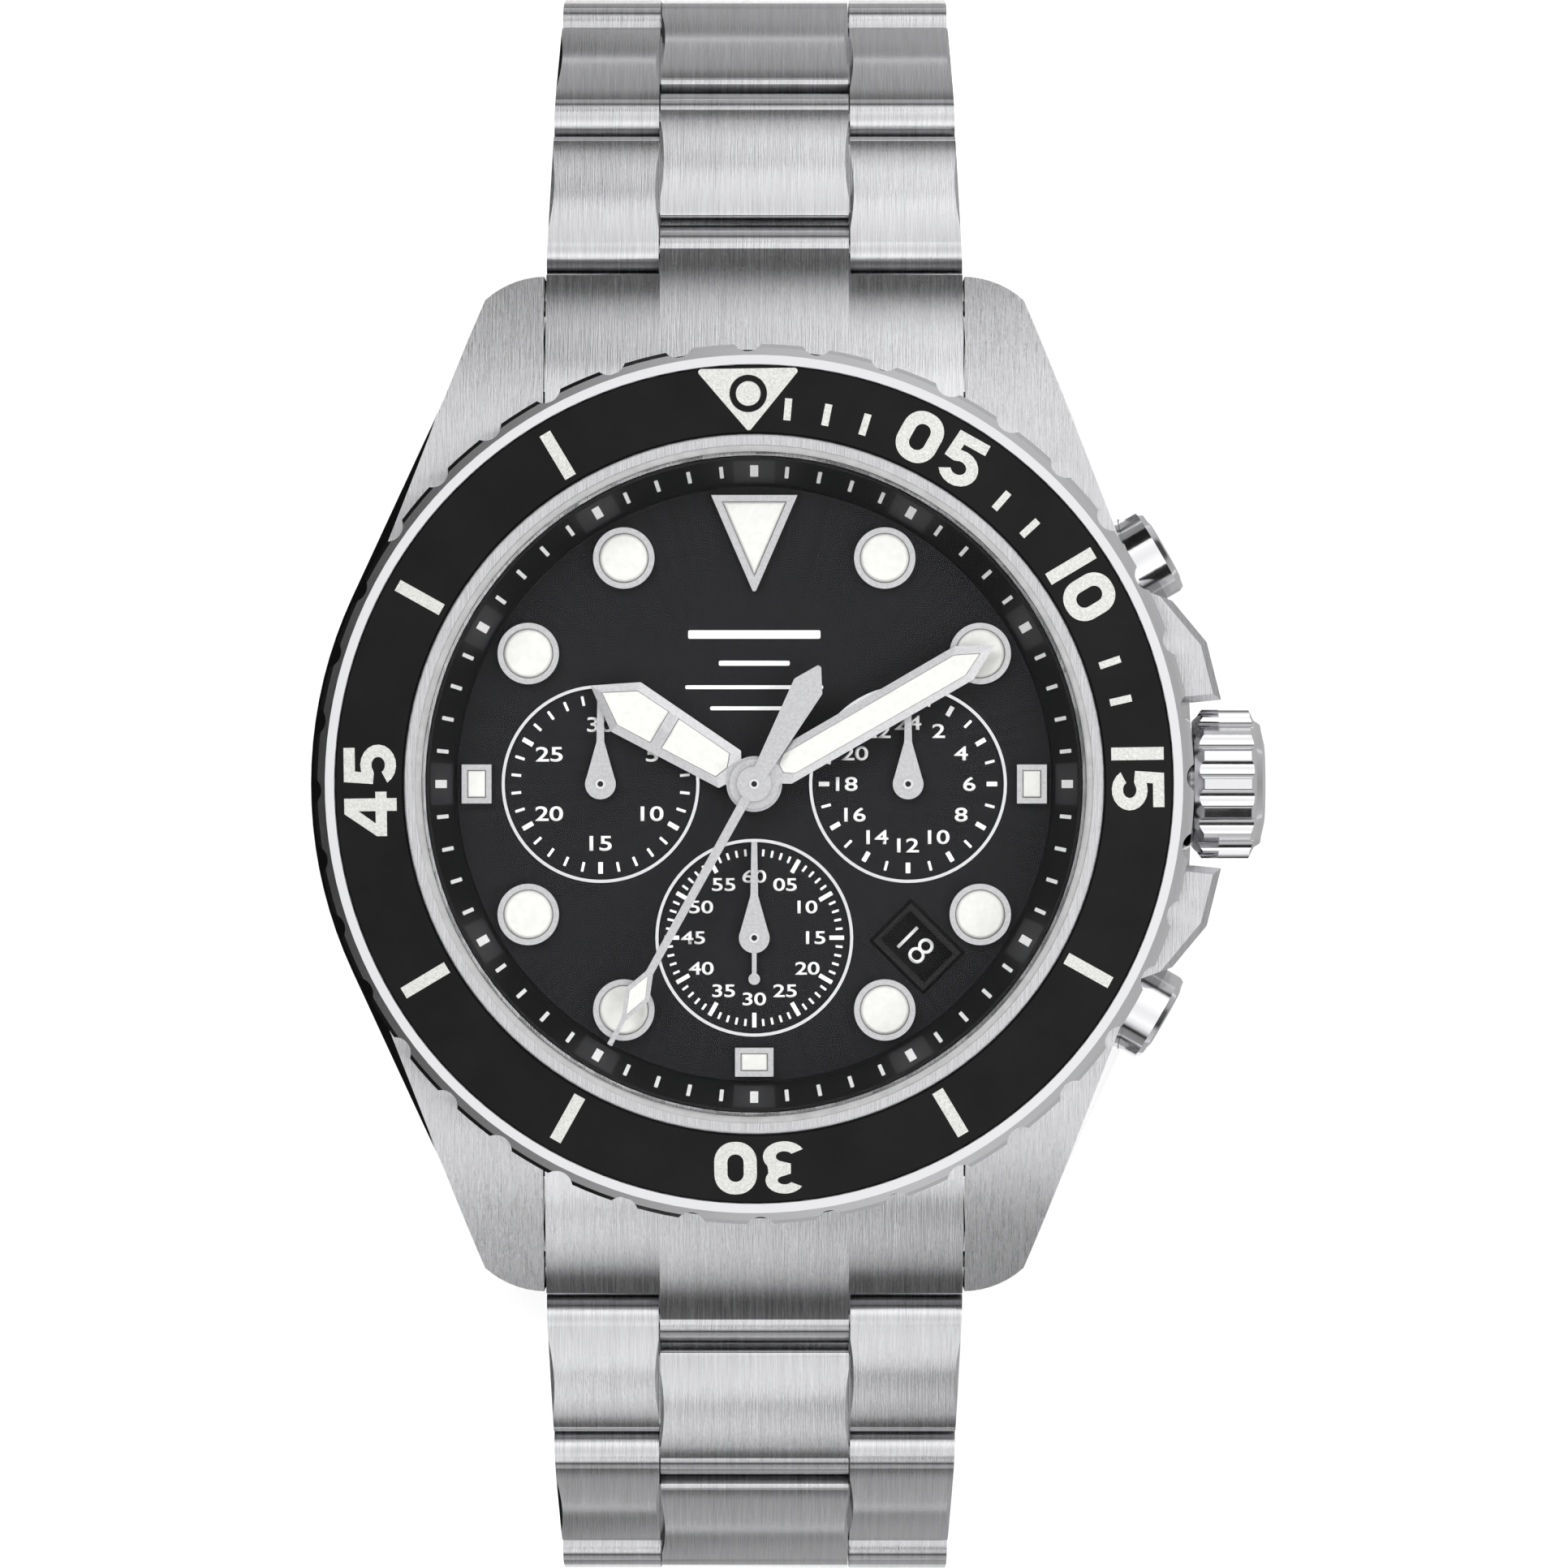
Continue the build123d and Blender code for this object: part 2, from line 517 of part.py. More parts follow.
def clasp_cover():
    py, pz = -end_pins()[0], end_pins()[1]
    y0, y1 = COVER_Y
    floor = along_x(make_face([Line((y0, COVER_Z + 1.0), (y0, COVER_Z + 0.55)),
                               ThreePointArc((y0, COVER_Z + 0.55), (-16, COVER_Z + 0.13), (-11, COVER_Z)),
                               Line((-11, COVER_Z), (9, COVER_Z)),
                               ThreePointArc((9, COVER_Z), (13.5, COVER_Z + 0.13), (y1, COVER_Z + 0.55)),
                               Line((y1, COVER_Z + 0.55), (y1, COVER_Z + COVER_T)),
                               Line((y1, COVER_Z + COVER_T), (y0 + 1.0, COVER_Z + COVER_T)),
                               Line((y0 + 1.0, COVER_Z + COVER_T), (y0, COVER_Z + 1.0))]),
                    -COVER_HALF, COVER_HALF)
    wall_low = COVER_Z + 0.5
    wall = box(WALL_IN, COVER_HALF, py, y1, wall_low, WALL_TOP) + rod_x(1.2, WALL_IN, COVER_HALF, py, pz)
    wall = wall - box(WALL_IN - 1, COVER_HALF + 1, py - 2, py, wall_low - 1, pz - 1.2)
    ear_end = box(5.15, WALL_IN, py, py + 1.6, wall_low, pz + 1.2) + rod_x(1.2, 5.15, WALL_IN, py, pz)
    ear_a = box(4.75, WALL_IN, HINGE_A[0] - 0.9, HINGE_A[0] + 0.9, wall_low, HINGE_A[1] + 0.7)
    body = floor + both_sides(wall + ear_end + ear_a)
    body = body - rod_x(PIN_R, -15, 15, py, pz) - rod_x(0.4, -15, 15, *HINGE_A)
    body = body - rod_x(1.05, -15, 15, BUTTON_Y, BUTTON_Z)
    return body, rod_x(PIN_R, -8.7, 8.7, py, pz), rod_x(0.4, -8.5, 8.5, *HINGE_A)


def clasp_middle_leaf():
    (ay, az), (by, bz) = HINGE_A, HINGE_B
    leaf = box(-4.5, 4.5, by + 1.0, ay, -38.0, -37.05) + rod_x(KNUCKLE_R, -4.5, 4.5, ay, az)
    leaf = leaf - box(-3.2, 3.2, -9.0, 10.5, -39, -36)
    ear = box(2.5, 4.5, by, by + 1.4, -37.55, bz + KNUCKLE_R) + rod_x(KNUCKLE_R, 2.5, 4.5, by, bz)
    bar = box(2.5, 6.0, by + 1.4, by + 2.6, -38.0, -37.05)
    body = leaf + both_sides(ear + bar)
    body = body - rod_x(0.4 + 0.05, -6, 6, ay, az) - rod_x(0.35, -6, 6, by, bz)
    return body, rod_x(0.35, -4.4, 4.4, by, bz)


def clasp_inner_leaf():
    (by, bz), (cy, cz) = HINGE_B, end_pins()
    low, high = -36.6, -35.65
    leaf = box(-4.4, 4.4, by, 17.8, low, high) - box(-3.0, 3.0, -9.5, 11.0, low - 1, high + 1)
    leaf = leaf - box(-6, 6, by - 2, by + 1.7, low - 1, high + 1)
    leaf = leaf + rod_x(KNUCKLE_R, -2.4, 2.4, by, bz) + box(-2.4, 2.4, by, by + 2.2, -36.55, high)
    arm = box(5.3, 8.0, 16.6, cy, low, high) + rod_x(1.1, 5.3, 8.0, cy, cz)
    body = leaf + box(-8.0, 8.0, 16.6, 17.8, low, high) + both_sides(arm)
    return body - rod_x(0.35 + 0.05, -6, 6, by, bz) - both_sides(rod_x(0.55, 5, 6.6, cy, cz))


def clasp_button(way):
    body = rod_x(1.35, 7.0, 7.75, BUTTON_Y, BUTTON_Z) + rod_x(1.0, 7.5, 9.75, BUTTON_Y, BUTTON_Z)
    body = chamfer(body.edges().sort_by(Axis.X)[-1], 0.2)
    return body if way > 0 else mirror(body, Plane.YZ)


# ---- the nodes ----
def write_case():
    save("case_middle", case_middle())
    save("case_back", case_back())
    save("case_back_gasket", ring(17.35, 17.9, CASE_BOTTOM, CASE_BOTTOM + 0.28))
    save("crystal", crystal())
    save("crystal_gasket", ring(CRYSTAL_R, SEAT_R, SEAT_Z, NECK_TOP - 0.05))
    save("flange_ring", flange_ring())
    save("dial", dial())
    save("hour_markers", *hour_markers())
    save("subdial_rings", *subdial_rings())
    save("date_window_frame", date_frame())
    save("crown_tube", crown_tube())
    save("pusher_tubes", *[Rot(0, 0, a) * pusher_tube() for a in PUSHER_ANGLES])
    save("pusher_springs", *[Rot(0, 0, a) * pusher_spring() for a in PUSHER_ANGLES])
    save("bezel_click_spring", click_spring())
    save("bezel_retaining_ring", ring(NECK_R - 0.2, NECK_R + 0.25, 9.28, 9.54))
    save("bezel_ring", bezel_ring())
    save("bezel_insert", bezel_insert())
    save("setting_lever", setting_lever())
    save("crown", crown())
    save("crown_stem", crown_stem())
    save("pusher_upper", Rot(0, 0, PUSHER_ANGLES[0]) * pusher())
    save("pusher_lower", Rot(0, 0, PUSHER_ANGLES[1]) * pusher())


def write_movement():
    save("main_plate", main_plate())
    save("train_bridge", train_bridge())
    save("movement_holder", movement_holder())
    save("circuit_board", circuit_board())
    save("motor_coils", *motor_coils())
    save("battery", battery())
    save("battery_clamp", battery_clamp())
    save("date_ring", date_ring())
    save("hour_wheel", hour_wheel())
    save("hour_hand", hour_hand())
    save("minute_hand", minute_hand())
    save("chronograph_seconds_hand", seconds_hand())
    save("chronograph_minutes_hand", sub_hand(*SUB_DIALS["left"], False))
    save("twenty_four_hour_hand", sub_hand(*SUB_DIALS["right"], False))
    save("small_seconds_hand", sub_hand(*SUB_DIALS["low"], True))


def write_bracelet():
    one = end_link()
    save("end_links", one, mirror(one, Plane.XZ))
    save("spring_bars", spring_bar(), mirror(spring_bar(), Plane.XZ))
    for n, (y, z, tilt) in enumerate(pin_places()[0]):
        solids = [Pos(0, y, z) * Rot(-tilt, 0, 0) * solid for solid in link(n)]
        save(f"link_12_{n + 1}", *solids)
        save(f"link_6_{n + 1}", *[mirror(solid, Plane.XZ) for solid in solids])
    save("clasp_cover", *clasp_cover())
    save("clasp_middle_leaf", *clasp_middle_leaf())
    save("clasp_inner_leaf", clasp_inner_leaf())
    save("clasp_button_right", clasp_button(1))
    save("clasp_button_left", clasp_button(-1))


write_case()
write_movement()
write_bracelet()
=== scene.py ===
import bpy
import bmesh
import json
from math import cos, hypot, pi, radians, sin, tan
from mathutils import Matrix, Vector


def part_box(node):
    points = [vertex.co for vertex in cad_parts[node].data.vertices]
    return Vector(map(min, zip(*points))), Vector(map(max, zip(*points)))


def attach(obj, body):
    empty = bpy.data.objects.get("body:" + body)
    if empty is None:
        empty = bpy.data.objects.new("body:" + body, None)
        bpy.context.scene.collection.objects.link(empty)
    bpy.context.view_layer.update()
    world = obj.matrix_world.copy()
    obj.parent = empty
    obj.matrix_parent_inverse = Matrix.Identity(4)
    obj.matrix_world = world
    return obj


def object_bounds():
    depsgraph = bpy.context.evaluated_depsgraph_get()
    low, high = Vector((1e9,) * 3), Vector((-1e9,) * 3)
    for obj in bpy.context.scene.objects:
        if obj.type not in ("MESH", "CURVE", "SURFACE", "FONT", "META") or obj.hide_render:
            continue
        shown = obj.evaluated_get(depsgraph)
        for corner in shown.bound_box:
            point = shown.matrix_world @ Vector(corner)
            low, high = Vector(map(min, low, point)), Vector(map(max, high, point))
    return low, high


# Steel chronograph dive watch on a steel bracelet. Metres throughout; MM turns millimetres to metres.
# +Z leaves the dial, +Y points to 12 o'clock, +X to the crown.
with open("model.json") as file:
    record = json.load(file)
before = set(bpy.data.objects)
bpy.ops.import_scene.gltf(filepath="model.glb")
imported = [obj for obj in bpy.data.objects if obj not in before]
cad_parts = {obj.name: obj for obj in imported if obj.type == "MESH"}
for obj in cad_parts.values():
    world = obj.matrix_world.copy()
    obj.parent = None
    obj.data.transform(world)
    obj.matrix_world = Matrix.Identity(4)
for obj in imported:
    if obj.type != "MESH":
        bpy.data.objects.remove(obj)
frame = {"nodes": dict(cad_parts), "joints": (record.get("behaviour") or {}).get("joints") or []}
NODES = frame["nodes"]
CAD_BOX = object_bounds()
MM = 0.001


# ------------------------------------------------------------------ frame values
def top_of(node):
    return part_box(node)[1][2]


def joint(name):
    return next(j for j in frame["joints"] if j["name"] == name)


DIAL_TOP = top_of("dial")
MARK_TOP = top_of("hour_markers")
BEZEL_TURN = radians(0.85)                     # the bezel stands a little anticlockwise of 12
SUB_DIALS = {side: Vector(joint(name)["pos_m"]).to_2d() for side, name in (
    ("left", "chronograph_minutes_turn"), ("right", "twenty_four_hour_turn"), ("low", "small_seconds_turn"))}
HAND_ANGLES = {"hour_hand": -59, "minute_hand": 60, "chronograph_seconds_hand": 209}
DATE_ANGLE = -45                               # the date opening, anticlockwise from +X


# ------------------------------------------------------------------ materials
def linear(hex_colour, alpha=1.0):
    """An sRGB hex colour as linear RGBA."""
    parts = [int(hex_colour[i:i + 2], 16) / 255 for i in (1, 3, 5)]
    return [c / 12.92 if c <= 0.04045 else ((c + 0.055) / 1.055) ** 2.4 for c in parts] + [alpha]


def new_material(name):
    mat = bpy.data.materials.new(name)
    mat.use_nodes = True
    mat.node_tree.nodes.clear()
    return mat


def node(owner, kind, settings=None, links=None):
    """Adds one node: settings go to its sockets, colour stops or properties, links join its inputs."""
    made = owner.node_tree.nodes.new("ShaderNode" + kind)
    for key, value in (settings or {}).items():
        if key == "stops":
            elements = made.color_ramp.elements
            while len(elements) < len(value):
                elements.new(0.5)
            for element, (place, colour) in zip(elements, value):
                element.position = place
                element.color = linear(colour) if isinstance(colour, str) else (colour, colour, colour, 1)
        elif isinstance(key, int) or key in made.inputs:
            made.inputs[key].default_value = value
        else:
            setattr(made, key, value)
    for key, source in (links or {}).items():
        owner.node_tree.links.new(source, made.inputs[key])
    return made


def stretched(mat, per_mm):
    """Object coordinates scaled so that one unit is 1/per_mm millimetres along each axis."""
    coords = node(mat, "TexCoord")
    return node(mat, "Mapping", {"Scale": [s / MM for s in per_mm]},
                {"Vector": coords.outputs["Object"]}).outputs["Vector"]


def polar(mat, centre=(0, 0)):
    """(radius in mm, angle in turns) about an axis parallel to Z."""
    coords = node(mat, "TexCoord").outputs["Object"]
    moved = node(mat, "VectorMath", {"operation": "SUBTRACT", 1: (centre[0], centre[1], 0)}, {0: coords})
    parts = node(mat, "SeparateXYZ", links={"Vector": moved.outputs["Vector"]})
    flat = node(mat, "CombineXYZ", links={"X": parts.outputs["X"], "Y": parts.outputs["Y"]})
    length = node(mat, "VectorMath", {"operation": "LENGTH"}, {0: flat.outputs["Vector"]})
    radius = node(mat, "Math", {"operation": "DIVIDE", 1: MM}, {0: length.outputs["Value"]})
    angle = node(mat, "Math", {"operation": "ARCTAN2"}, {0: parts.outputs["X"], 1: parts.outputs["Y"]})
    turns = node(mat, "Math", {"operation": "DIVIDE", 1: 2 * pi}, {0: angle.outputs["Value"]})
    return radius.outputs["Value"], turns.outputs["Value"]


def brushed_steel(name, per_mm, tone="#d0d0d2", dark="#b2b2b4", rough=0.30, grain=0.05, spread=0.0):
    """316L stainless steel, line-brushed with an abrasive belt: long fine scratches one way."""
    mat = new_material(name)
    vector = stretched(mat, per_mm)
    lines = node(mat, "TexNoise", {"Scale": 1.0, "Detail": 4.0, "Roughness": 0.7},
                 {"Vector": vector}).outputs["Fac"]
    wide = node(mat, "TexNoise", {"Scale": 1.0, "Detail": 2.0, "Roughness": 0.6},
                {"Vector": stretched(mat, [s * 0.22 for s in per_mm])}).outputs["Fac"]
    mixed = node(mat, "Math", {"operation": "MULTIPLY_ADD", 1: 0.35}, {0: wide, 2: lines})
    colour = node(mat, "ValToRGB", {"stops": [(0.40, dark), (0.95, tone)]},
                  {"Fac": mixed.outputs["Value"]}).outputs["Color"]
    roughness = node(mat, "MapRange", {"To Min": rough - 0.07, "To Max": rough + 0.12}, {"Value": lines})
    bump = node(mat, "Bump", {"Strength": 0.4, "Distance": grain * MM}, {"Height": lines})
    across = node(mat, "CombineXYZ", {"X": 1.0}).outputs["Vector"]
    shader = node(mat, "BsdfPrincipled", {"Metallic": 1.0, "Anisotropic": spread}, {
        "Base Color": colour, "Roughness": roughness.outputs["Result"], "Normal": bump.outputs["Normal"],
        "Tangent": across})
    node(mat, "OutputMaterial", links={"Surface": shader.outputs["BSDF"]})
    return mat


def case_steel():
    """316L stainless steel: tops line-brushed along the bracelet, steep flanks mirror-polished."""
    mat = new_material("steel_brushed_top_polished_flank")
    lines = node(mat, "TexNoise", {"Scale": 1.0, "Detail": 4.0, "Roughness": 0.7},
                 {"Vector": stretched(mat, (14, 0.5, 0.5))}).outputs["Fac"]
    wear = node(mat, "TexNoise", {"Scale": 1.0, "Detail": 3.0, "Roughness": 0.6},
                {"Vector": stretched(mat, (0.5, 0.5, 0.5))}).outputs["Fac"]
    normal = node(mat, "NewGeometry")
    up = node(mat, "SeparateXYZ", links={"Vector": normal.outputs["Normal"]}).outputs["Z"]
    flat = node(mat, "MapRange", {"From Min": 0.62, "From Max": 0.74, "clamp": True}, {"Value": up})
    is_top = flat.outputs["Result"]
    brushed = node(mat, "MapRange", {"To Min": 0.20, "To Max": 0.36}, {"Value": lines})
    smooth = node(mat, "MapRange", {"To Min": 0.05, "To Max": 0.12}, {"Value": wear})
    rough = node(mat, "Mix", links={
        "Factor": is_top, 2: smooth.outputs["Result"], 3: brushed.outputs["Result"]})
    colour = node(mat, "ValToRGB", {"stops": [(0.3, "#b4b4b6"), (0.75, "#d2d2d4")]},
                  {"Fac": lines}).outputs["Color"]
    strength = node(mat, "Math", {"operation": "MULTIPLY", 1: 0.6}, {0: is_top})
    bump = node(mat, "Bump", {"Distance": 0.05 * MM}, {
        "Height": lines, "Strength": strength.outputs["Value"]})
    across = node(mat, "CombineXYZ", {"X": 1.0}).outputs["Vector"]
    shader = node(mat, "BsdfPrincipled", {"Metallic": 1.0, "Anisotropic": 0.6}, {
        "Base Color": colour, "Roughness": rough.outputs[0], "Normal": bump.outputs["Normal"],
        "Tangent": across})
    node(mat, "OutputMaterial", links={"Surface": shader.outputs["BSDF"]})
    return mat


def polished_steel():
    """316L stainless steel, buffed to a mirror: faint hairlines and handling smears."""
    mat = new_material("steel_polished")
    smear = node(mat, "TexNoise", {"Scale": 1.0, "Detail": 4.0, "Roughness": 0.6},
                 {"Vector": stretched(mat, (0.45, 0.45, 0.45))}).outputs["Fac"]
    hair = node(mat, "TexNoise", {"Scale": 1.0, "Detail": 2.0, "Roughness": 0.6},
                {"Vector": stretched(mat, (6, 1.2, 6))}).outputs["Fac"]
    mixed = node(mat, "Math", {"operation": "MULTIPLY_ADD", 1: 0.5}, {0: hair, 2: smear})
    roughness = node(mat, "MapRange", {"To Min": 0.04, "To Max": 0.15},
                     {"Value": mixed.outputs["Value"]})
    bump = node(mat, "Bump", {"Strength": 0.15, "Distance": 0.01 * MM}, {"Height": hair})
    shader = node(mat, "BsdfPrincipled", {"Metallic": 1.0, "Base Color": linear("#dcdcde")},
                  {"Roughness": roughness.outputs["Result"], "Normal": bump.outputs["Normal"]})
    node(mat, "OutputMaterial", links={"Surface": shader.outputs["BSDF"]})
    return mat


def anodised_insert():
    """Aluminium ring, lathe-turned and black anodised: faint circular lines under a satin black film."""
    mat = new_material("aluminium_black_anodised")
    radius, turns = polar(mat)
    vector = node(mat, "CombineXYZ", links={"X": radius, "Y": turns}).outputs["Vector"]
    lines = node(mat, "TexNoise", {"Scale": 18.0, "Detail": 3.0, "Roughness": 0.6},
                 {"Vector": vector}).outputs["Fac"]
    cloud = node(mat, "TexNoise", {"Scale": 1.0, "Detail": 2.0, "Roughness": 0.6},
                 {"Vector": stretched(mat, (0.3, 0.3, 0.3))}).outputs["Fac"]
    colour = node(mat, "ValToRGB", {"stops": [(0.2, "#070707"), (0.8, "#101011")]},
                  {"Fac": cloud}).outputs["Color"]
    rough = node(mat, "MapRange", {"To Min": 0.26, "To Max": 0.40}, {"Value": lines})
    bump = node(mat, "Bump", {"Strength": 0.12, "Distance": 0.02 * MM}, {"Height": lines})
    shader = node(mat, "BsdfPrincipled", {"Specular IOR Level": 0.13}, {
        "Base Color": colour, "Roughness": rough.outputs["Result"], "Normal": bump.outputs["Normal"]})
    node(mat, "OutputMaterial", links={"Surface": shader.outputs["BSDF"]})
    return mat


def blasted_marks():
    """Bare aluminium under the insert's film, bead-blasted: a fine even grain that scatters light."""
    mat = new_material("aluminium_bead_blasted")
    grain = node(mat, "TexNoise", {"Scale": 1.0, "Detail": 2.0, "Roughness": 0.8},
                 {"Vector": stretched(mat, (9, 9, 9))}).outputs["Fac"]
    colour = node(mat, "ValToRGB", {"stops": [(0.25, "#a2a29f"), (0.75, "#cfcfcc")]},
                  {"Fac": grain}).outputs["Color"]
    bump = node(mat, "Bump", {"Strength": 0.5, "Distance": 0.02 * MM}, {"Height": grain})
    shader = node(mat, "BsdfPrincipled", {"Metallic": 0.35, "Roughness": 0.5}, {
        "Base Color": colour, "Normal": bump.outputs["Normal"]})
    node(mat, "OutputMaterial", links={"Surface": shader.outputs["BSDF"]})
    return mat


def dial_paint():
    """Brass dial blank, sun-brushed and painted matt black: the rays only just show."""
    mat = new_material("dial_matt_black_sunray")
    radius, turns = polar(mat)
    ray = node(mat, "CombineXYZ", links={"X": turns}).outputs["Vector"]
    rays = node(mat, "TexNoise", {"Scale": 260.0, "Detail": 3.0, "Roughness": 0.7},
                {"Vector": ray}).outputs["Fac"]
    grain = node(mat, "TexNoise", {"Scale": 1.0, "Detail": 2.0, "Roughness": 0.6},
                 {"Vector": stretched(mat, (11, 11, 11))}).outputs["Fac"]
    mixed = node(mat, "Math", {"operation": "MULTIPLY_ADD", 1: 0.6}, {0: grain, 2: rays})
    colour = node(mat, "ValToRGB", {"stops": [(0.45, "#0d0d0e"), (1.0, "#1d1d1f")]},
                  {"Fac": mixed.outputs["Value"]}).outputs["Color"]
    bump = node(mat, "Bump", {"Strength": 0.25, "Distance": 0.02 * MM}, {"Height": mixed.outputs["Value"]})
    shader = node(mat, "BsdfPrincipled", {"Roughness": 0.62, "Specular IOR Level": 0.08}, {
        "Base Color": colour, "Normal": bump.outputs["Normal"]})
    node(mat, "OutputMaterial", links={"Surface": shader.outputs["BSDF"]})
    return mat


def painted(name, light, dark, rough=0.5, grain_mm=0.12, strength=0.15, specular=0.5):
    """A smooth painted, printed or moulded surface with a fine orange-peel grain."""
    mat = new_material(name)
    grain = node(mat, "TexNoise", {"Scale": 1.0, "Detail": 3.0, "Roughness": 0.6},
                 {"Vector": stretched(mat, [0.4 / grain_mm] * 3)}).outputs["Fac"]
    colour = node(mat, "ValToRGB", {"stops": [(0.3, dark), (0.7, light)]},
                  {"Fac": grain}).outputs["Color"]
    roughness = node(mat, "MapRange", {"To Min": rough - 0.06, "To Max": rough + 0.06}, {"Value": grain})
    bump = node(mat, "Bump", {"Strength": strength, "Distance": 0.02 * MM}, {"Height": grain})
    shader = node(mat, "BsdfPrincipled", {"Specular IOR Level": specular}, {
        "Base Color": colour, "Roughness": roughness.outputs["Result"], "Normal": bump.outputs["Normal"]})
    node(mat, "OutputMaterial", links={"Surface": shader.outputs["BSDF"]})
    return mat


def satin_silver():
    """Silver-plated brass, fine satin: a soft even shine on the hands and the marker rims."""
    mat = new_material("silver_plate_satin")
    lines = node(mat, "TexNoise", {"Scale": 1.0, "Detail": 3.0, "Roughness": 0.6},
                 {"Vector": stretched(mat, (7, 7, 7))}).outputs["Fac"]
    colour = node(mat, "ValToRGB", {"stops": [(0.3, "#b0b0b2"), (0.7, "#c4c4c6")]},
                  {"Fac": lines}).outputs["Color"]
    roughness = node(mat, "MapRange", {"To Min": 0.26, "To Max": 0.38}, {"Value": lines})
    bump = node(mat, "Bump", {"Strength": 0.2, "Distance": 0.01 * MM}, {"Height": lines})
    shader = node(mat, "BsdfPrincipled", {"Metallic": 0.9}, {
        "Base Color": colour, "Roughness": roughness.outputs["Result"], "Normal": bump.outputs["Normal"]})
    node(mat, "OutputMaterial", links={"Surface": shader.outputs["BSDF"]})
    return mat


def clear_glass():
    """Flat mineral crystal, polished: clear straight through, with a thin edge-on shine."""
    mat = new_material("mineral_glass_clear")
    smear = node(mat, "TexNoise", {"Scale": 1.0, "Detail": 3.0, "Roughness": 0.6},
                 {"Vector": stretched(mat, (0.12, 0.12, 0.12))}).outputs["Fac"]
    rough = node(mat, "MapRange", {"To Min": 0.01, "To Max": 0.05}, {"Value": smear})
    shine = node(mat, "BsdfGlossy", {"Color": (1, 1, 1, 1)}, {"Roughness": rough.outputs["Result"]})
    clear = node(mat, "BsdfTransparent", {"Color": (1, 1, 1, 1)})
    edge = node(mat, "Fresnel", {"IOR": 1.12})
    both = node(mat, "MixShader", links={
        0: edge.outputs["Fac"], 1: clear.outputs["BSDF"], 2: shine.outputs["BSDF"]})
    node(mat, "OutputMaterial", links={"Surface": both.outputs["Shader"]})
    return mat


def floor_paint():
    """Pale matt paint on the studio floor, very slightly uneven."""
    mat = new_material("floor_pale")
    cloud = node(mat, "TexNoise", {"Scale": 1.0, "Detail": 2.0, "Roughness": 0.6},
                 {"Vector": stretched(mat, (0.01, 0.01, 0.01))}).outputs["Fac"]
    colour = node(mat, "ValToRGB", {"stops": [(0.2, "#f4f4f4"), (0.8, "#fafafa")]},
                  {"Fac": cloud}).outputs["Color"]
    shader = node(mat, "BsdfPrincipled", {"Roughness": 0.9, "Specular IOR Level": 0.1},
                  {"Base Color": colour})
    node(mat, "OutputMaterial", links={"Surface": shader.outputs["BSDF"]})
    return mat


STEEL_LONG = brushed_steel("steel_brushed_lengthwise", (14, 0.45, 0.45), rough=0.19, grain=0.03, spread=0.85)
STEEL_ACROSS = brushed_steel("steel_brushed_crosswise", (0.45, 9, 9), rough=0.26)
STEEL_CASE = case_steel()
STEEL_POLISHED = polished_steel()
ANODISED = anodised_insert()
BLASTED = blasted_marks()
DIAL_PAINT = dial_paint()
SATIN = satin_silver()
GLASS = clear_glass()
LUME = painted("luminous_paint_white", "#c6c6c3", "#bdbdba", 0.55, 0.15, 0.25)
WHITE_PRINT = painted("pad_print_white", "#dcdcdc", "#d0d0d0", 0.5, 0.1, 0.05, 0.2)
FLANGE_BLACK = painted("flange_moulded_black", "#111112", "#0b0b0c", 0.42, 0.12, 0.1, 0.22)
DATE_BLACK = painted("date_disc_matt_black", "#0d0d0e", "#08080a", 0.55, 0.1, 0.1, 0.1)
RUBBER = painted("nitrile_rubber_black", "#1a1a1a", "#101010", 0.7, 0.2, 0.3, 0.3)
PLATE_METAL = brushed_steel("brass_nickel_plated", (3, 3, 3), "#cbc3ae", "#a79f8a", 0.33)
GASKET = painted("nylon_gasket_grey", "#9a9a9a", "#8c8c8c", 0.45, 0.3, 0.1, 0.3)
PAD = painted("flange_moulded_black_pad", "#2c2c2e", "#252527", 0.4, 0.12, 0.1, 0.22)
HOLDER = painted("acetal_holder_white", "#dcdad2", "#cfcdc4", 0.45, 0.3, 0.1)
BOARD = painted("circuit_board_green", "#1f5a34", "#174827", 0.35, 0.3, 0.1)
COPPER = brushed_steel("copper_wire_enamelled", (2, 12, 2), "#c07a4a", "#8e5230", 0.3)

FINISH = {
    "case_middle": STEEL_CASE, "case_back": STEEL_ACROSS, "case_back_gasket": RUBBER, "crystal": GLASS,
    "crystal_gasket": GASKET, "flange_ring": FLANGE_BLACK, "dial": DIAL_PAINT, "hour_markers": SATIN,
    "subdial_rings": STEEL_POLISHED, "date_window_frame": FLANGE_BLACK, "main_plate": PLATE_METAL,
    "train_bridge": PLATE_METAL, "movement_holder": HOLDER, "circuit_board": BOARD, "motor_coils": COPPER,
    "battery": STEEL_POLISHED, "pusher_springs": STEEL_POLISHED, "bezel_retaining_ring": STEEL_POLISHED,
    "bezel_ring": STEEL_POLISHED, "bezel_insert": ANODISED, "crown": STEEL_POLISHED,
    "crown_stem": STEEL_POLISHED, "pusher_upper": STEEL_POLISHED, "pusher_lower": STEEL_POLISHED,
    "minute_hand": SATIN, "hour_hand": SATIN,
    "hour_wheel": PLATE_METAL, "chronograph_seconds_hand": SATIN, "small_seconds_hand": SATIN,
    "chronograph_minutes_hand": SATIN, "twenty_four_hour_hand": SATIN, "date_ring": DATE_BLACK,
    "clasp_button_left": STEEL_POLISHED, "clasp_button_right": STEEL_POLISHED,
}


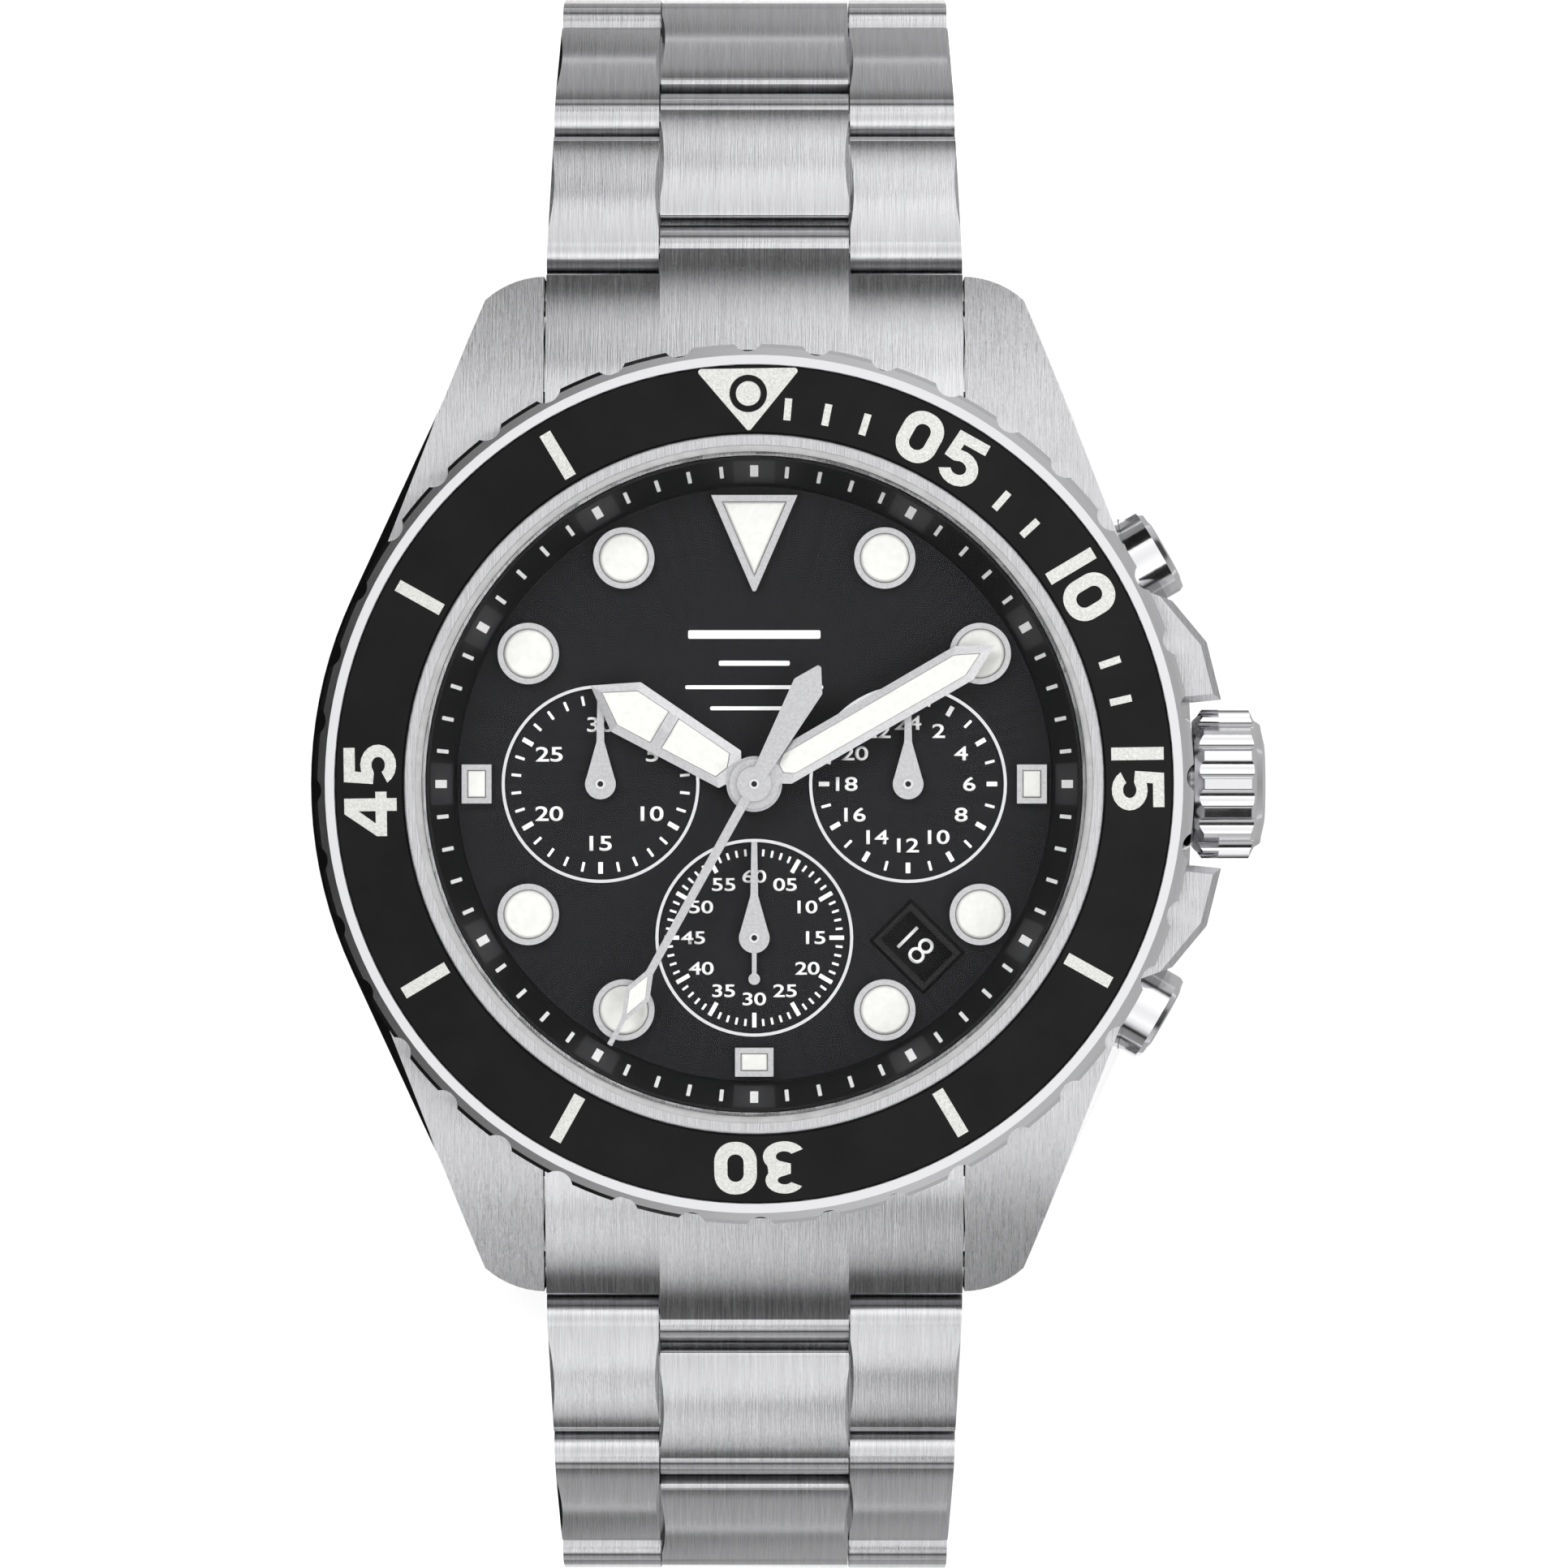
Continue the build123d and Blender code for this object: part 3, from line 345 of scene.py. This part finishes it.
def dress_cad_nodes():
    """Gives each CAD node its finish; the links, clasp and small steel parts are brushed lengthwise."""
    for name, obj in NODES.items():
        obj.data.materials.clear()
        obj.data.materials.append(FINISH.get(name, STEEL_LONG))


INK = 0.012 * MM              # how proud the printing stands
SUB_DIAL_SINK = 0.1 * MM      # the sub-dials lie below the dial
MARK_THICK = 0.03 * MM        # how proud the bezel marks stand
FIGURE_R = 19.85 * MM         # middle of the bezel figures
DATE_R = 12.0 * MM            # middle of the date figures
DATE_SHOWN = 18
# level of the face of each hand, in mm
FACES = {"hour_hand": 8.17, "minute_hand": 8.67, "chronograph_seconds_hand": 9.11}


# ------------------------------------------------------------------ mesh helpers
def piece(name, bm, material, body):
    """Turns a bmesh into a piece that rides on a body and takes the finish it is given."""
    mesh = bpy.data.meshes.new(name)
    bm.to_mesh(mesh)
    bm.free()
    obj = bpy.data.objects.new(name, mesh)
    bpy.context.scene.collection.objects.link(obj)
    mesh.materials.append(material)
    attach(obj, body)
    return obj


def slab(bm, points, z0, z1, bevel=0.0):
    """A flat closed slab over a plan outline of (x, y) points, from z0 up to z1."""
    low = [bm.verts.new((x, y, z0)) for x, y in points]
    cx, cy = sum(p[0] for p in points) / len(points), sum(p[1] for p in points) / len(points)
    rings = [low]
    if bevel:
        rings.append([bm.verts.new((x, y, z1 - bevel)) for x, y in points])
    inset = []
    for x, y in points:
        away = max(hypot(x - cx, y - cy), 1e-9)
        k = 1 - bevel / away
        inset.append(bm.verts.new((cx + (x - cx) * k, cy + (y - cy) * k, z1)))
    rings.append(inset)
    bm.faces.new(list(reversed(low)))
    for a, b in zip(rings, rings[1:]):
        for i in range(len(points)):
            j = (i + 1) % len(points)
            bm.faces.new((a[i], a[j], b[j], b[i]))
    bm.faces.new(inset)


def clock_matrix(angle, at=(0, 0)):
    """Turns a shape that points to 12 clockwise by an angle in degrees, about a point."""
    return Matrix.Translation((at[0], at[1], 0)) @ Matrix.Rotation(-radians(angle), 4, "Z")


def moved(points, matrix):
    return [tuple((matrix @ Vector((x, y, 0))).to_2d()) for x, y in points]


def rectangle(wide, tall, y=0.0, x=0.0):
    return [(x - wide / 2, y - tall / 2), (x + wide / 2, y - tall / 2), (x + wide / 2, y + tall / 2),
            (x - wide / 2, y + tall / 2)]


def disc(r, n=48, x=0.0, y=0.0):
    return [(x + r * cos(2 * pi * k / n), y + r * sin(2 * pi * k / n)) for k in range(n)]


def glyphs(text, height, wide, weight, spacing):
    """A bmesh of flat generic figures, centred on the origin, of a given cap height."""
    curve = bpy.data.curves.new("figures", "FONT")
    curve.body = text
    curve.align_x, curve.align_y = "CENTER", "CENTER"
    curve.size, curve.offset, curve.space_character = 1.0, weight, spacing
    curve.resolution_u = 6
    holder = bpy.data.objects.new("figures", curve)
    mesh = bpy.data.meshes.new_from_object(holder)
    bm = bmesh.new()
    bm.from_mesh(mesh)
    bpy.data.objects.remove(holder)
    bpy.data.curves.remove(curve)
    bpy.data.meshes.remove(mesh)
    xs, ys = [v.co.x for v in bm.verts], [v.co.y for v in bm.verts]
    scale = height / (max(ys) - min(ys))
    for v in bm.verts:
        x, y = v.co.x - (max(xs) + min(xs)) / 2, v.co.y - (max(ys) + min(ys)) / 2
        v.co = (x * scale * wide, y * scale, 0)
    return bm


def add_figures(bm, figures, matrix, thick):
    """Adds flat figures as closed slabs of a given thickness to a bmesh."""
    made = bmesh.ops.extrude_face_region(figures, geom=figures.faces[:])
    for v in made["geom"]:
        if isinstance(v, bmesh.types.BMVert):
            v.co.z += thick
    bmesh.ops.transform(figures, matrix=matrix, verts=figures.verts)
    bmesh.ops.recalc_face_normals(figures, faces=figures.faces)
    mesh = bpy.data.meshes.new("figures")
    figures.to_mesh(mesh)
    figures.free()
    bm.from_mesh(mesh)
    bpy.data.meshes.remove(mesh)


def add_glyphs(bm, text, matrix, height, wide, weight, spacing):
    """Adds printed figures."""
    figures = glyphs(text, height, wide, weight, spacing)
    bmesh.ops.remove_doubles(figures, verts=figures.verts, dist=height * 1e-4)
    add_figures(bm, figures, matrix, INK)


def arc(at, wide, tall, start, end, steps=14):
    """Points along an ellipse from one angle to another, in degrees anticlockwise from +X."""
    angles = [radians(start + (end - start) * k / steps) for k in range(steps + 1)]
    return [(at[0] + wide * cos(a), at[1] + tall * sin(a)) for a in angles]


def heavy_outlines(figure):
    """Outline and holes of one heavy engraved figure, 2.72 mm tall, in mm."""
    if figure == "0":
        return [rounded(rectangle(2.2, 2.72), 1.02), rounded(rectangle(0.84, 1.42), 0.41)]
    if figure == "1":
        return [rectangle(0.66, 2.72)]
    if figure == "3":
        top, low = (-0.04, 0.66), (-0.02, -0.57)
        outer = arc(top, 1.0, 0.70, 152, -32) + arc(low, 1.1, 0.79, 38, -152)
        middle_bar = [(-0.36, -0.2), (-0.36, 0.32)]
        return [outer + arc(low, 0.43, 0.27, -150, 74) + middle_bar + arc(top, 0.37, 0.22, -74, 150)]
    if figure == "4":
        outer = [(0.0, 1.36), (0.8, 1.36), (0.8, -0.26), (1.14, -0.26), (1.14, -0.84), (0.8, -0.84),
                 (0.8, -1.36), (0.14, -1.36), (0.14, -0.84), (-1.16, -0.84), (-1.16, -0.32)]
        return [outer, [(0.14, 0.62), (0.14, -0.26), (-0.5, -0.26)]]
    bowl = (0.02, -0.43)                       # the 5
    flag = [(-0.84, 1.36), (0.93, 1.36), (0.93, 0.78), (-0.3, 0.78), (-0.34, 0.44)]
    return [flag + arc(bowl, 1.06, 0.93, 106, -150) + arc(bowl, 0.42, 0.35, -150, 128)
            + [(-0.4, -0.2), (-0.96, -0.14)]]


def heavy_figures(text, pitch):
    """A bmesh of flat heavy figures side by side, in metres, centred on the origin."""
    bm = bmesh.new()
    for k, figure in enumerate(text):
        shift = (k - (len(text) - 1) / 2) * pitch
        edges = []
        for outline in heavy_outlines(figure):
            verts = [bm.verts.new(((x + shift) * MM, y * MM, 0)) for x, y in outline]
            edges += [bm.edges.new((verts[i - 1], verts[i])) for i in range(len(verts))]
        bmesh.ops.triangle_fill(bm, edges=edges, use_beauty=True, normal=(0, 0, 1))
    return bm


# ------------------------------------------------------------------ bezel marks
def insert_height(r):
    """Top of the insert, which rises towards its inner edge."""
    inner, outer, top, fall = 18.22, 21.61, 11.0, 0.22
    return (top - fall * (r / MM - inner) / (outer - inner)) * MM


def lay_on_insert(bm, lift):
    """Drapes flat marks over the sloping insert."""
    for v in bm.verts:
        v.co.z += insert_height(hypot(v.co.x, v.co.y)) + lift


def bezel_marks():
    """Minute figures, bars, dashes and the zero triangle with its ring."""
    turn = Matrix.Rotation(BEZEL_TURN, 4, "Z")
    marks = bmesh.new()
    for minute in (5, 10, 15, 30, 45):
        text = f"{minute:02d}"
        pitch, shift = (1.85, 0.35) if text[0] == "1" else (2.5, 0.0)
        place = turn @ clock_matrix(6 * minute) @ Matrix.Translation((-shift * MM, FIGURE_R, 0))
        add_figures(marks, heavy_figures(text, pitch), place, MARK_THICK)
    for minute in (20, 25, 35, 40, 50, 55):
        bar = moved(rectangle(0.63 * MM, 2.62 * MM, 19.8 * MM), turn @ clock_matrix(6 * minute))
        slab(marks, bar, 0, MARK_THICK)
    for minute in (1, 2, 3, 7, 8, 12, 13):
        dash = moved(rectangle(0.37 * MM, 1.14 * MM, 19.45 * MM), turn @ clock_matrix(6 * minute))
        slab(marks, dash, 0, MARK_THICK)
    lay_on_insert(marks, 0.0)
    piece("bezel_minute_marks", marks, BLASTED, "bezel")
    pointer = bmesh.new()
    corners = [(0, 18.2), (2.75, 21.5), (-2.75, 21.5)]
    slab(pointer, moved(rounded([(x * MM, y * MM) for x, y in corners], 0.16 * MM), turn), 0, MARK_THICK)
    lay_on_insert(pointer, 0.0)
    piece("bezel_zero_triangle", pointer, BLASTED, "bezel")
    eye = bmesh.new()
    band(eye, 0.64 * MM, 0.97 * MM, 0, MARK_THICK, (turn @ Vector((0, 20.2 * MM, 0))).to_2d())
    lay_on_insert(eye, 0.012 * MM)
    piece("bezel_zero_ring", eye, ANODISED, "bezel")


def band(bm, r_in, r_out, z0, z1, at, n=64):
    """A flat closed ring."""
    loops = []
    for r, z in ((r_in, z0), (r_out, z0), (r_out, z1), (r_in, z1)):
        loops.append([bm.verts.new((at[0] + x, at[1] + y, z)) for x, y in disc(r, n)])
    for k in range(4):
        a, b = loops[k], loops[(k + 1) % 4]
        for i in range(n):
            j = (i + 1) % n
            bm.faces.new((a[i], a[j], b[j], b[i]))
    bmesh.ops.recalc_face_normals(bm, faces=bm.faces)


def rounded(points, radius, steps=8):
    """A closed outline with each corner rounded, corners given anticlockwise or clockwise."""
    out = []
    n = len(points)
    for i in range(n):
        a, b, c = (Vector(points[k % n]) for k in (i - 1, i, i + 1))
        u, w = (a - b).normalized(), (c - b).normalized()
        half = u.angle(w) / 2
        reach = radius / tan(half)
        centre = b + (u + w).normalized() * radius / sin(half)
        start, end = b + u * reach - centre, b + w * reach - centre
        sweep = start.angle_signed(end)
        for k in range(steps + 1):
            spin = Matrix.Rotation(-sweep * k / steps, 2)
            out.append(tuple(centre + spin @ start))
    return out


# ------------------------------------------------------------------ dial printing
def print_bars(bm, at, count, r, tall, wide, skip_every=0):
    """Minute bars round a sub-dial, with room left for the heavier ones."""
    for k in range(count):
        if not skip_every or k % skip_every:
            slab(bm, moved(rectangle(wide, tall, r), clock_matrix(360 * k / count, at)), 0, INK)


def sub_dial_figures(bm, at, figures, r, height):
    """Upright figures on a circle, each with its clock angle in degrees."""
    for angle, text in figures:
        x, y = at[0] + r * sin(radians(angle)), at[1] + r * cos(radians(angle))
        add_glyphs(bm, text, Matrix.Translation((x, y, 0)), height, 1.42, 0.014, 0.98)


def dial_print():
    """White printing: scales and figures of the sub-dials, and plain bars in place of words."""
    bm = bmesh.new()
    left, right, low = SUB_DIALS["left"], SUB_DIALS["right"], SUB_DIALS["low"]
    print_bars(bm, left, 30, 4.42 * MM, 0.5 * MM, 0.14 * MM, 5)
    print_bars(bm, left, 6, 4.38 * MM, 0.6 * MM, 0.24 * MM)
    figures = [(60 * k, str(5 * k)) for k in range(1, 6)] + [(0, "30")]
    sub_dial_figures(bm, left, figures, 3.1 * MM, 0.78 * MM)
    print_bars(bm, right, 24, 4.42 * MM, 0.5 * MM, 0.14 * MM, 2)
    print_bars(bm, right, 12, 4.38 * MM, 0.55 * MM, 0.24 * MM)
    sub_dial_figures(bm, right, [(30 * k, str(2 * k)) for k in range(1, 13)], 3.2 * MM, 0.74 * MM)
    print_bars(bm, low, 60, 4.45 * MM, 0.36 * MM, 0.12 * MM, 5)
    print_bars(bm, low, 12, 4.3 * MM, 0.76 * MM, 0.22 * MM)
    sub_dial_figures(bm, low, [(30 * k, f"{5 * k:02d}") for k in range(1, 13)], 3.2 * MM, 0.68 * MM)
    for v in bm.verts:
        v.co.z += DIAL_TOP - SUB_DIAL_SINK
    words = bmesh.new()
    for y, wide, tall in ((7.8, 6.9, 0.44), (6.3, 3.7, 0.26), (5.05, 7.2, 0.2), (3.95, 4.6, 0.2)):
        slab(words, rounded(rectangle(wide * MM, tall * MM, y * MM), 0.09 * MM), 0, INK)
    for v in words.verts:
        v.co.z += DIAL_TOP
    piece("dial_printing", bm, WHITE_PRINT, "case")
    piece("dial_plain_bars", words, WHITE_PRINT, "case")


def flange_ticks():
    """Minute ticks and slightly lighter hour pads on the sloping flange."""
    low, high = DIAL_TOP + 0.5 * MM, 9.78 * MM
    r_low, r_high = 15.62 * MM, 16.85 * MM

    def height(r):
        return low + (high - low) * (r - r_low) / (r_high - r_low)

    pads = bmesh.new()
    inner, outer, half_wide, steps = 15.72 * MM, 16.78 * MM, 3.8, 6
    for hour in range(12):
        angles = [radians(30 * hour + half_wide * way / steps) for way in range(-steps, steps + 1)]
        outline = [(inner * sin(a), inner * cos(a)) for a in angles]
        outline += [(outer * sin(a), outer * cos(a)) for a in reversed(angles)]
        slab(pads, outline, 0, 0.02 * MM)
    for v in pads.verts:
        v.co.z += height(hypot(v.co.x, v.co.y))
    bmesh.ops.recalc_face_normals(pads, faces=pads.faces)
    piece("flange_hour_pads", pads, PAD, "case")
    bm = bmesh.new()
    for k in range(60):
        wide = (0.42 if k % 5 == 0 else 0.2) * MM
        points = moved(rectangle(wide, 0.56 * MM, 16.27 * MM), clock_matrix(6 * k))
        slab(bm, points, 0, 0.04 * MM)
    for v in bm.verts:
        v.co.z += height(hypot(v.co.x, v.co.y)) + 0.01 * MM
    piece("flange_minute_ticks", bm, WHITE_PRINT, "case")


# ------------------------------------------------------------------ luminous fills
def dome(bm, outline, z, rise, rings=5):
    """A low cushion over a plan outline: level rings that shrink as they climb."""
    cx = sum(p[0] for p in outline) / len(outline)
    cy = sum(p[1] for p in outline) / len(outline)
    last = [bm.verts.new((x, y, z)) for x, y in outline]
    bm.faces.new(list(reversed(last)))
    for k in range(1, rings + 1):
        a = k / rings * pi / 2 * 0.92
        shrink, lift = 1 - 0.16 * (1 - cos(a)), sin(a) * rise
        ring = [bm.verts.new((cx + (x - cx) * shrink, cy + (y - cy) * shrink, z + lift)) for x, y in outline]
        for i in range(len(outline)):
            j = (i + 1) % len(outline)
            bm.faces.new((last[i], last[j], ring[j], ring[i]))
        last = ring
    bm.faces.new(last)


def marker_fills():
    """Luminous paint domed up inside the applied hour markers."""
    bm = bmesh.new()
    z = MARK_TOP - 0.25 * MM
    for hour in (1, 2, 4, 5, 7, 8, 10, 11):
        dome(bm, moved(disc(1.29 * MM, 48, 0, 13.6 * MM), clock_matrix(30 * hour)), z, 0.36 * MM)
    triangle = [(-1.68, 14.72), (0, 10.83), (1.68, 14.72)]
    dome(bm, rounded([(x * MM, y * MM) for x, y in triangle], 0.06 * MM, 4), z, 0.3 * MM)
    rim = 0.6
    for hour, radial, wide, at in ((3, 1.55, 2.03, 14.47), (6, 1.5, 2.0, 14.5), (9, 1.55, 2.03, 14.47)):
        bar = rectangle((wide - rim) * MM, (radial - rim) * MM, at * MM)
        dome(bm, moved(rounded(bar, 0.05 * MM, 3), clock_matrix(30 * hour)), z, 0.28 * MM)
    piece("marker_luminous_fills", bm, LUME, "case")


def mirrored_points(points):
    """Completes a half outline across the Y axis."""
    return points + [(-x, y) for x, y in reversed(points) if x]


def hand_fills():
    """Luminous paint in the hands, as half outlines in mm from the tip down."""
    cells = {"hour_hand": [[(0.0, 9.25), (1.04, 7.7), (0.94, 5.74)],
                           [(0.89, 5.12), (0.71, 1.91), (0.0, 1.64)]],
             "minute_hand": [[(0.0, 13.57), (0.61, 12.35), (0.59, 2.1), (0.24, 1.62)]],
             "chronograph_seconds_hand": [[(0.0, 13.72), (0.47, 12.5), (0.0, 11.38)]]}
    for hand, outlines in cells.items():
        face = FACES[hand] * MM
        bm = bmesh.new()
        for outline in outlines:
            points = [(x * MM, y * MM) for x, y in mirrored_points(outline)]
            points = moved(points, clock_matrix(HAND_ANGLES[hand]))
            deep = 0.05 * MM if hand == "chronograph_seconds_hand" else 0.16 * MM
            slab(bm, list(reversed(points)), face - deep, face + 0.03 * MM, 0.03 * MM)
        bmesh.ops.recalc_face_normals(bm, faces=bm.faces)
        piece(f"{hand}_luminous_fill", bm, LUME, hand)


def hand_facets():
    """Two facets along each broad hand: the frame rises from its outline to its centre line."""
    frames = {                                 # rise, then (outer, inner) points of the rim, then cross bars
        "hour_hand": (0.10, [((0, 9.95), (0, 9.27)), ((1.5, 7.8), (1.05, 7.7)),
                             ((1.379, 5.73), (0.95, 5.73)), ((1.344, 5.13), (0.9, 5.13)),
                             ((1.13, 1.48), (0.72, 1.9)), ((0.78, 1.26), (0, 1.62))],
                      [((0.95, 5.73), (0.9, 5.13), (0, 5.13), (0, 5.73))]),
        "minute_hand": (0.09, [((0, 14.45), (0, 13.6)), ((1.0, 12.6), (0.62, 12.35)),
                               ((0.96, 1.7), (0.6, 2.1)), ((0.7, 1.26), (0.25, 1.6))], []),
    }
    for hand, (rise, rails, bars) in frames.items():
        face = FACES[hand]
        bm = bmesh.new()
        made = {}

        def vert(point, height):
            key = (round(point[0], 4), round(point[1], 4))
            if key not in made:
                made[key] = bm.verts.new((point[0] * MM, point[1] * MM, (face + height) * MM))
            return made[key]

        for way in (1, -1):
            for (o0, i0), (o1, i1) in zip(rails, rails[1:]):
                corners = [vert((way * o0[0], o0[1]), 0.01), vert((way * o1[0], o1[1]), 0.01),
                           vert((way * i1[0], i1[1]), rise), vert((way * i0[0], i0[1]), rise)]
                bm.faces.new(corners if way > 0 else list(reversed(corners)))
            for bar in bars:
                corners = [vert((way * x, y), rise if x else rise + 0.08) for x, y in bar]
                bm.faces.new(corners if way < 0 else list(reversed(corners)))
        bmesh.ops.recalc_face_normals(bm, faces=bm.faces)
        under = bmesh.ops.extrude_face_region(bm, geom=bm.faces[:])
        for v in under["geom"]:
            if isinstance(v, bmesh.types.BMVert):
                v.co.z = (face - 0.03) * MM
        bmesh.ops.recalc_face_normals(bm, faces=bm.faces)
        bmesh.ops.transform(bm, matrix=clock_matrix(HAND_ANGLES[hand]), verts=bm.verts)
        piece(f"{hand}_facets", bm, SATIN, hand)


def hand_pins():
    """The pipe ends that show in the middle of the hands."""
    for hand, at in (("chronograph_seconds_hand", (0, 0)), ("small_seconds_hand", SUB_DIALS["low"]),
                     ("chronograph_minutes_hand", SUB_DIALS["left"]),
                     ("twenty_four_hour_hand", SUB_DIALS["right"])):
        top = top_of(hand)
        bm = bmesh.new()
        band(bm, 0.15 * MM, 0.27 * MM, top - 0.01 * MM, top + 0.04 * MM, at, 32)
        piece(f"{hand}_pipe", bm, STEEL_POLISHED, hand)
        bm = bmesh.new()
        slab(bm, disc(0.15 * MM, 24, at[0], at[1]), top - 0.01 * MM, top + 0.005 * MM)
        piece(f"{hand}_pin", bm, FLANGE_BLACK, hand)


def date_shade():
    """Matt black lips under the date opening that hide both edges of the disc."""
    bm = bmesh.new()
    low = top_of("date_ring") + 0.05 * MM
    turn = Matrix.Rotation(radians(DATE_ANGLE), 4, "Z")
    for wide, at in ((0.72, 10.69), (0.4, 13.5)):
        slab(bm, moved(rectangle(wide * MM, 2.2 * MM, 0, at * MM), turn), low, low + 0.15 * MM)
    piece("date_window_lip", bm, DATE_BLACK, "case")


def date_figures():
    """The 31 dates on their disc, with one of them in the opening."""
    bm = bmesh.new()
    for day in range(1, 32):
        turn = Matrix.Rotation(radians(DATE_ANGLE + (day - DATE_SHOWN) * 360 / 31), 4, "Z")
        place = turn @ Matrix.Translation((DATE_R, 0, 0))
        add_glyphs(bm, str(day), place, 1.5 * MM, 0.95, -0.008, 0.95)
    lift = top_of("date_ring")
    for v in bm.verts:
        v.co.z += lift
    piece("date_figures", bm, WHITE_PRINT, "date_ring")


# ------------------------------------------------------------------ studio
def plane(name, wide, tall, centre, look_at, material):
    """A thin stage board, such as the floor or a card."""
    bm = bmesh.new()
    slab(bm, rectangle(wide, tall), -0.001, 0)
    mesh = bpy.data.meshes.new(name)
    bm.to_mesh(mesh)
    bm.free()
    obj = bpy.data.objects.new(name, mesh)
    bpy.context.scene.collection.objects.link(obj)
    mesh.materials.append(material)
    obj.location = centre
    obj.rotation_euler = (Vector(look_at) - Vector(centre)).to_track_quat("Z", "Y").to_euler()
    return obj


def light(name, centre, size, power, look_at=(0, 0, 0)):
    """A soft box that lights paint and floor; the steel sees only the tent."""
    data = bpy.data.lights.new(name, "AREA")
    data.shape, data.size, data.size_y, data.energy = "RECTANGLE", size[0], size[1], power
    obj = bpy.data.objects.new(name, data)
    obj.location = centre
    obj.rotation_euler = (Vector(look_at) - Vector(centre)).to_track_quat("-Z", "Y").to_euler()
    obj.visible_glossy = False
    bpy.context.scene.collection.objects.link(obj)


def reflected_cards(floor_z):
    """Cards that only the steel reflects: on the floor beside and beyond, and above two opposite corners."""
    black = painted("card_black", "#0b0b0b", "#060606", 0.8, specular=0.1)
    grey = painted("card_grey", "#9a9a9a", "#929292", 0.8, specular=0.1)
    for name, wide, tall, centre, look_at, paint in (
            ("card_left", 0.38, 0.60, (-0.21, 0, floor_z + 0.0015), (-0.21, 0, 1.0), black),
            ("card_right", 0.36, 0.12, (0.214, 0, floor_z + 0.001), (0.214, 0, 1.0), grey),
            ("card_beyond_top", 0.7, 0.5, (0.16, 0.31, floor_z + 0.001), (0.16, 0.31, 1.0), grey),
            ("card_beyond_low", 0.7, 0.5, (0.16, -0.31, floor_z + 0.001), (0.16, -0.31, 1.0), grey),
            ("card_high_left", 0.11, 0.10, (-0.072, 0.115, 0.105), (-0.017, 0.03, 0.006), black),
            ("card_high_right", 0.11, 0.10, (0.072, -0.115, 0.105), (0.017, -0.03, 0.006), black)):
        card = plane(name, wide, tall, centre, look_at, paint)
        card.visible_camera = card.visible_diffuse = card.visible_shadow = card.visible_transmission = False


def tent():
    """The studio's light tent, brighter and darker by direction, for the steel to reflect."""
    world = bpy.data.worlds.new("studio")
    bpy.context.scene.world = world
    world.use_nodes = True
    world.node_tree.nodes.clear()
    ray = node(world, "TexCoord").outputs["Generated"]
    parts = node(world, "SeparateXYZ", links={"Vector": ray})
    height = node(world, "MapRange", {"From Min": -1.0, "From Max": 1.0}, {"Value": parts.outputs["Z"]})
    tones = ((0.0, 0.40), (0.50, 0.30), (0.67, 0.25), (0.70, 0.02), (0.745, 0.02), (0.78, 0.45),
             (0.85, 0.78), (0.93, 0.84), (1.0, 0.53))
    by_height = node(world, "ValToRGB", {"stops": tones}, {"Fac": height.outputs["Result"]})
    across = node(world, "MapRange", {"From Min": -1.0, "From Max": 1.0}, {"Value": parts.outputs["X"]})
    shades = ((0.0, 0.08), (0.25, 0.42), (0.48, 0.95), (0.70, 1.10), (1.0, 0.80))
    by_side = node(world, "ValToRGB", {"stops": shades}, {"Fac": across.outputs["Result"]})
    strength = node(world, "Math", {"operation": "MULTIPLY", 1: 2.25}, {0: by_side.outputs["Color"]})
    glow = node(world, "Background", links={"Color": by_height.outputs["Color"],
                                            "Strength": strength.outputs["Value"]})
    node(world, "OutputWorld", links={"Surface": glow.outputs["Background"]})


def studio():
    floor_z = CAD_BOX[0][2]
    plane("floor", 3.0, 3.0, (0, 0, floor_z), (0, 0, floor_z + 1), floor_paint())
    reflected_cards(floor_z)
    light("key_left", (-0.34, 0.38, 0.66), (0.30, 0.30), 5.0)
    light("fill_right", (0.5, -0.2, 0.60), (0.5, 0.5), 3.3)
    tent()
    bpy.context.scene.view_settings.view_transform = "Standard"


CAMERA_X, CAMERA_Z = 1.55 * MM, 430.9 * MM
FRAME_WIDE = 81.1 * MM        # what the frame takes in, level with the bezel
BEZEL_LEVEL = 10.85 * MM


def camera():
    data = bpy.data.cameras.new("camera")
    data.sensor_width = 36.0
    data.lens = 36.0 * (CAMERA_Z - BEZEL_LEVEL) / FRAME_WIDE
    data.clip_start, data.clip_end = 0.01, 10.0
    obj = bpy.data.objects.new("camera", data)
    obj.location = (CAMERA_X, 0, CAMERA_Z)
    bpy.context.scene.collection.objects.link(obj)
    bpy.context.scene.camera = obj


dress_cad_nodes()
bezel_marks()
dial_print()
flange_ticks()
marker_fills()
hand_fills()
hand_facets()
hand_pins()
date_shade()
date_figures()
studio()
camera()
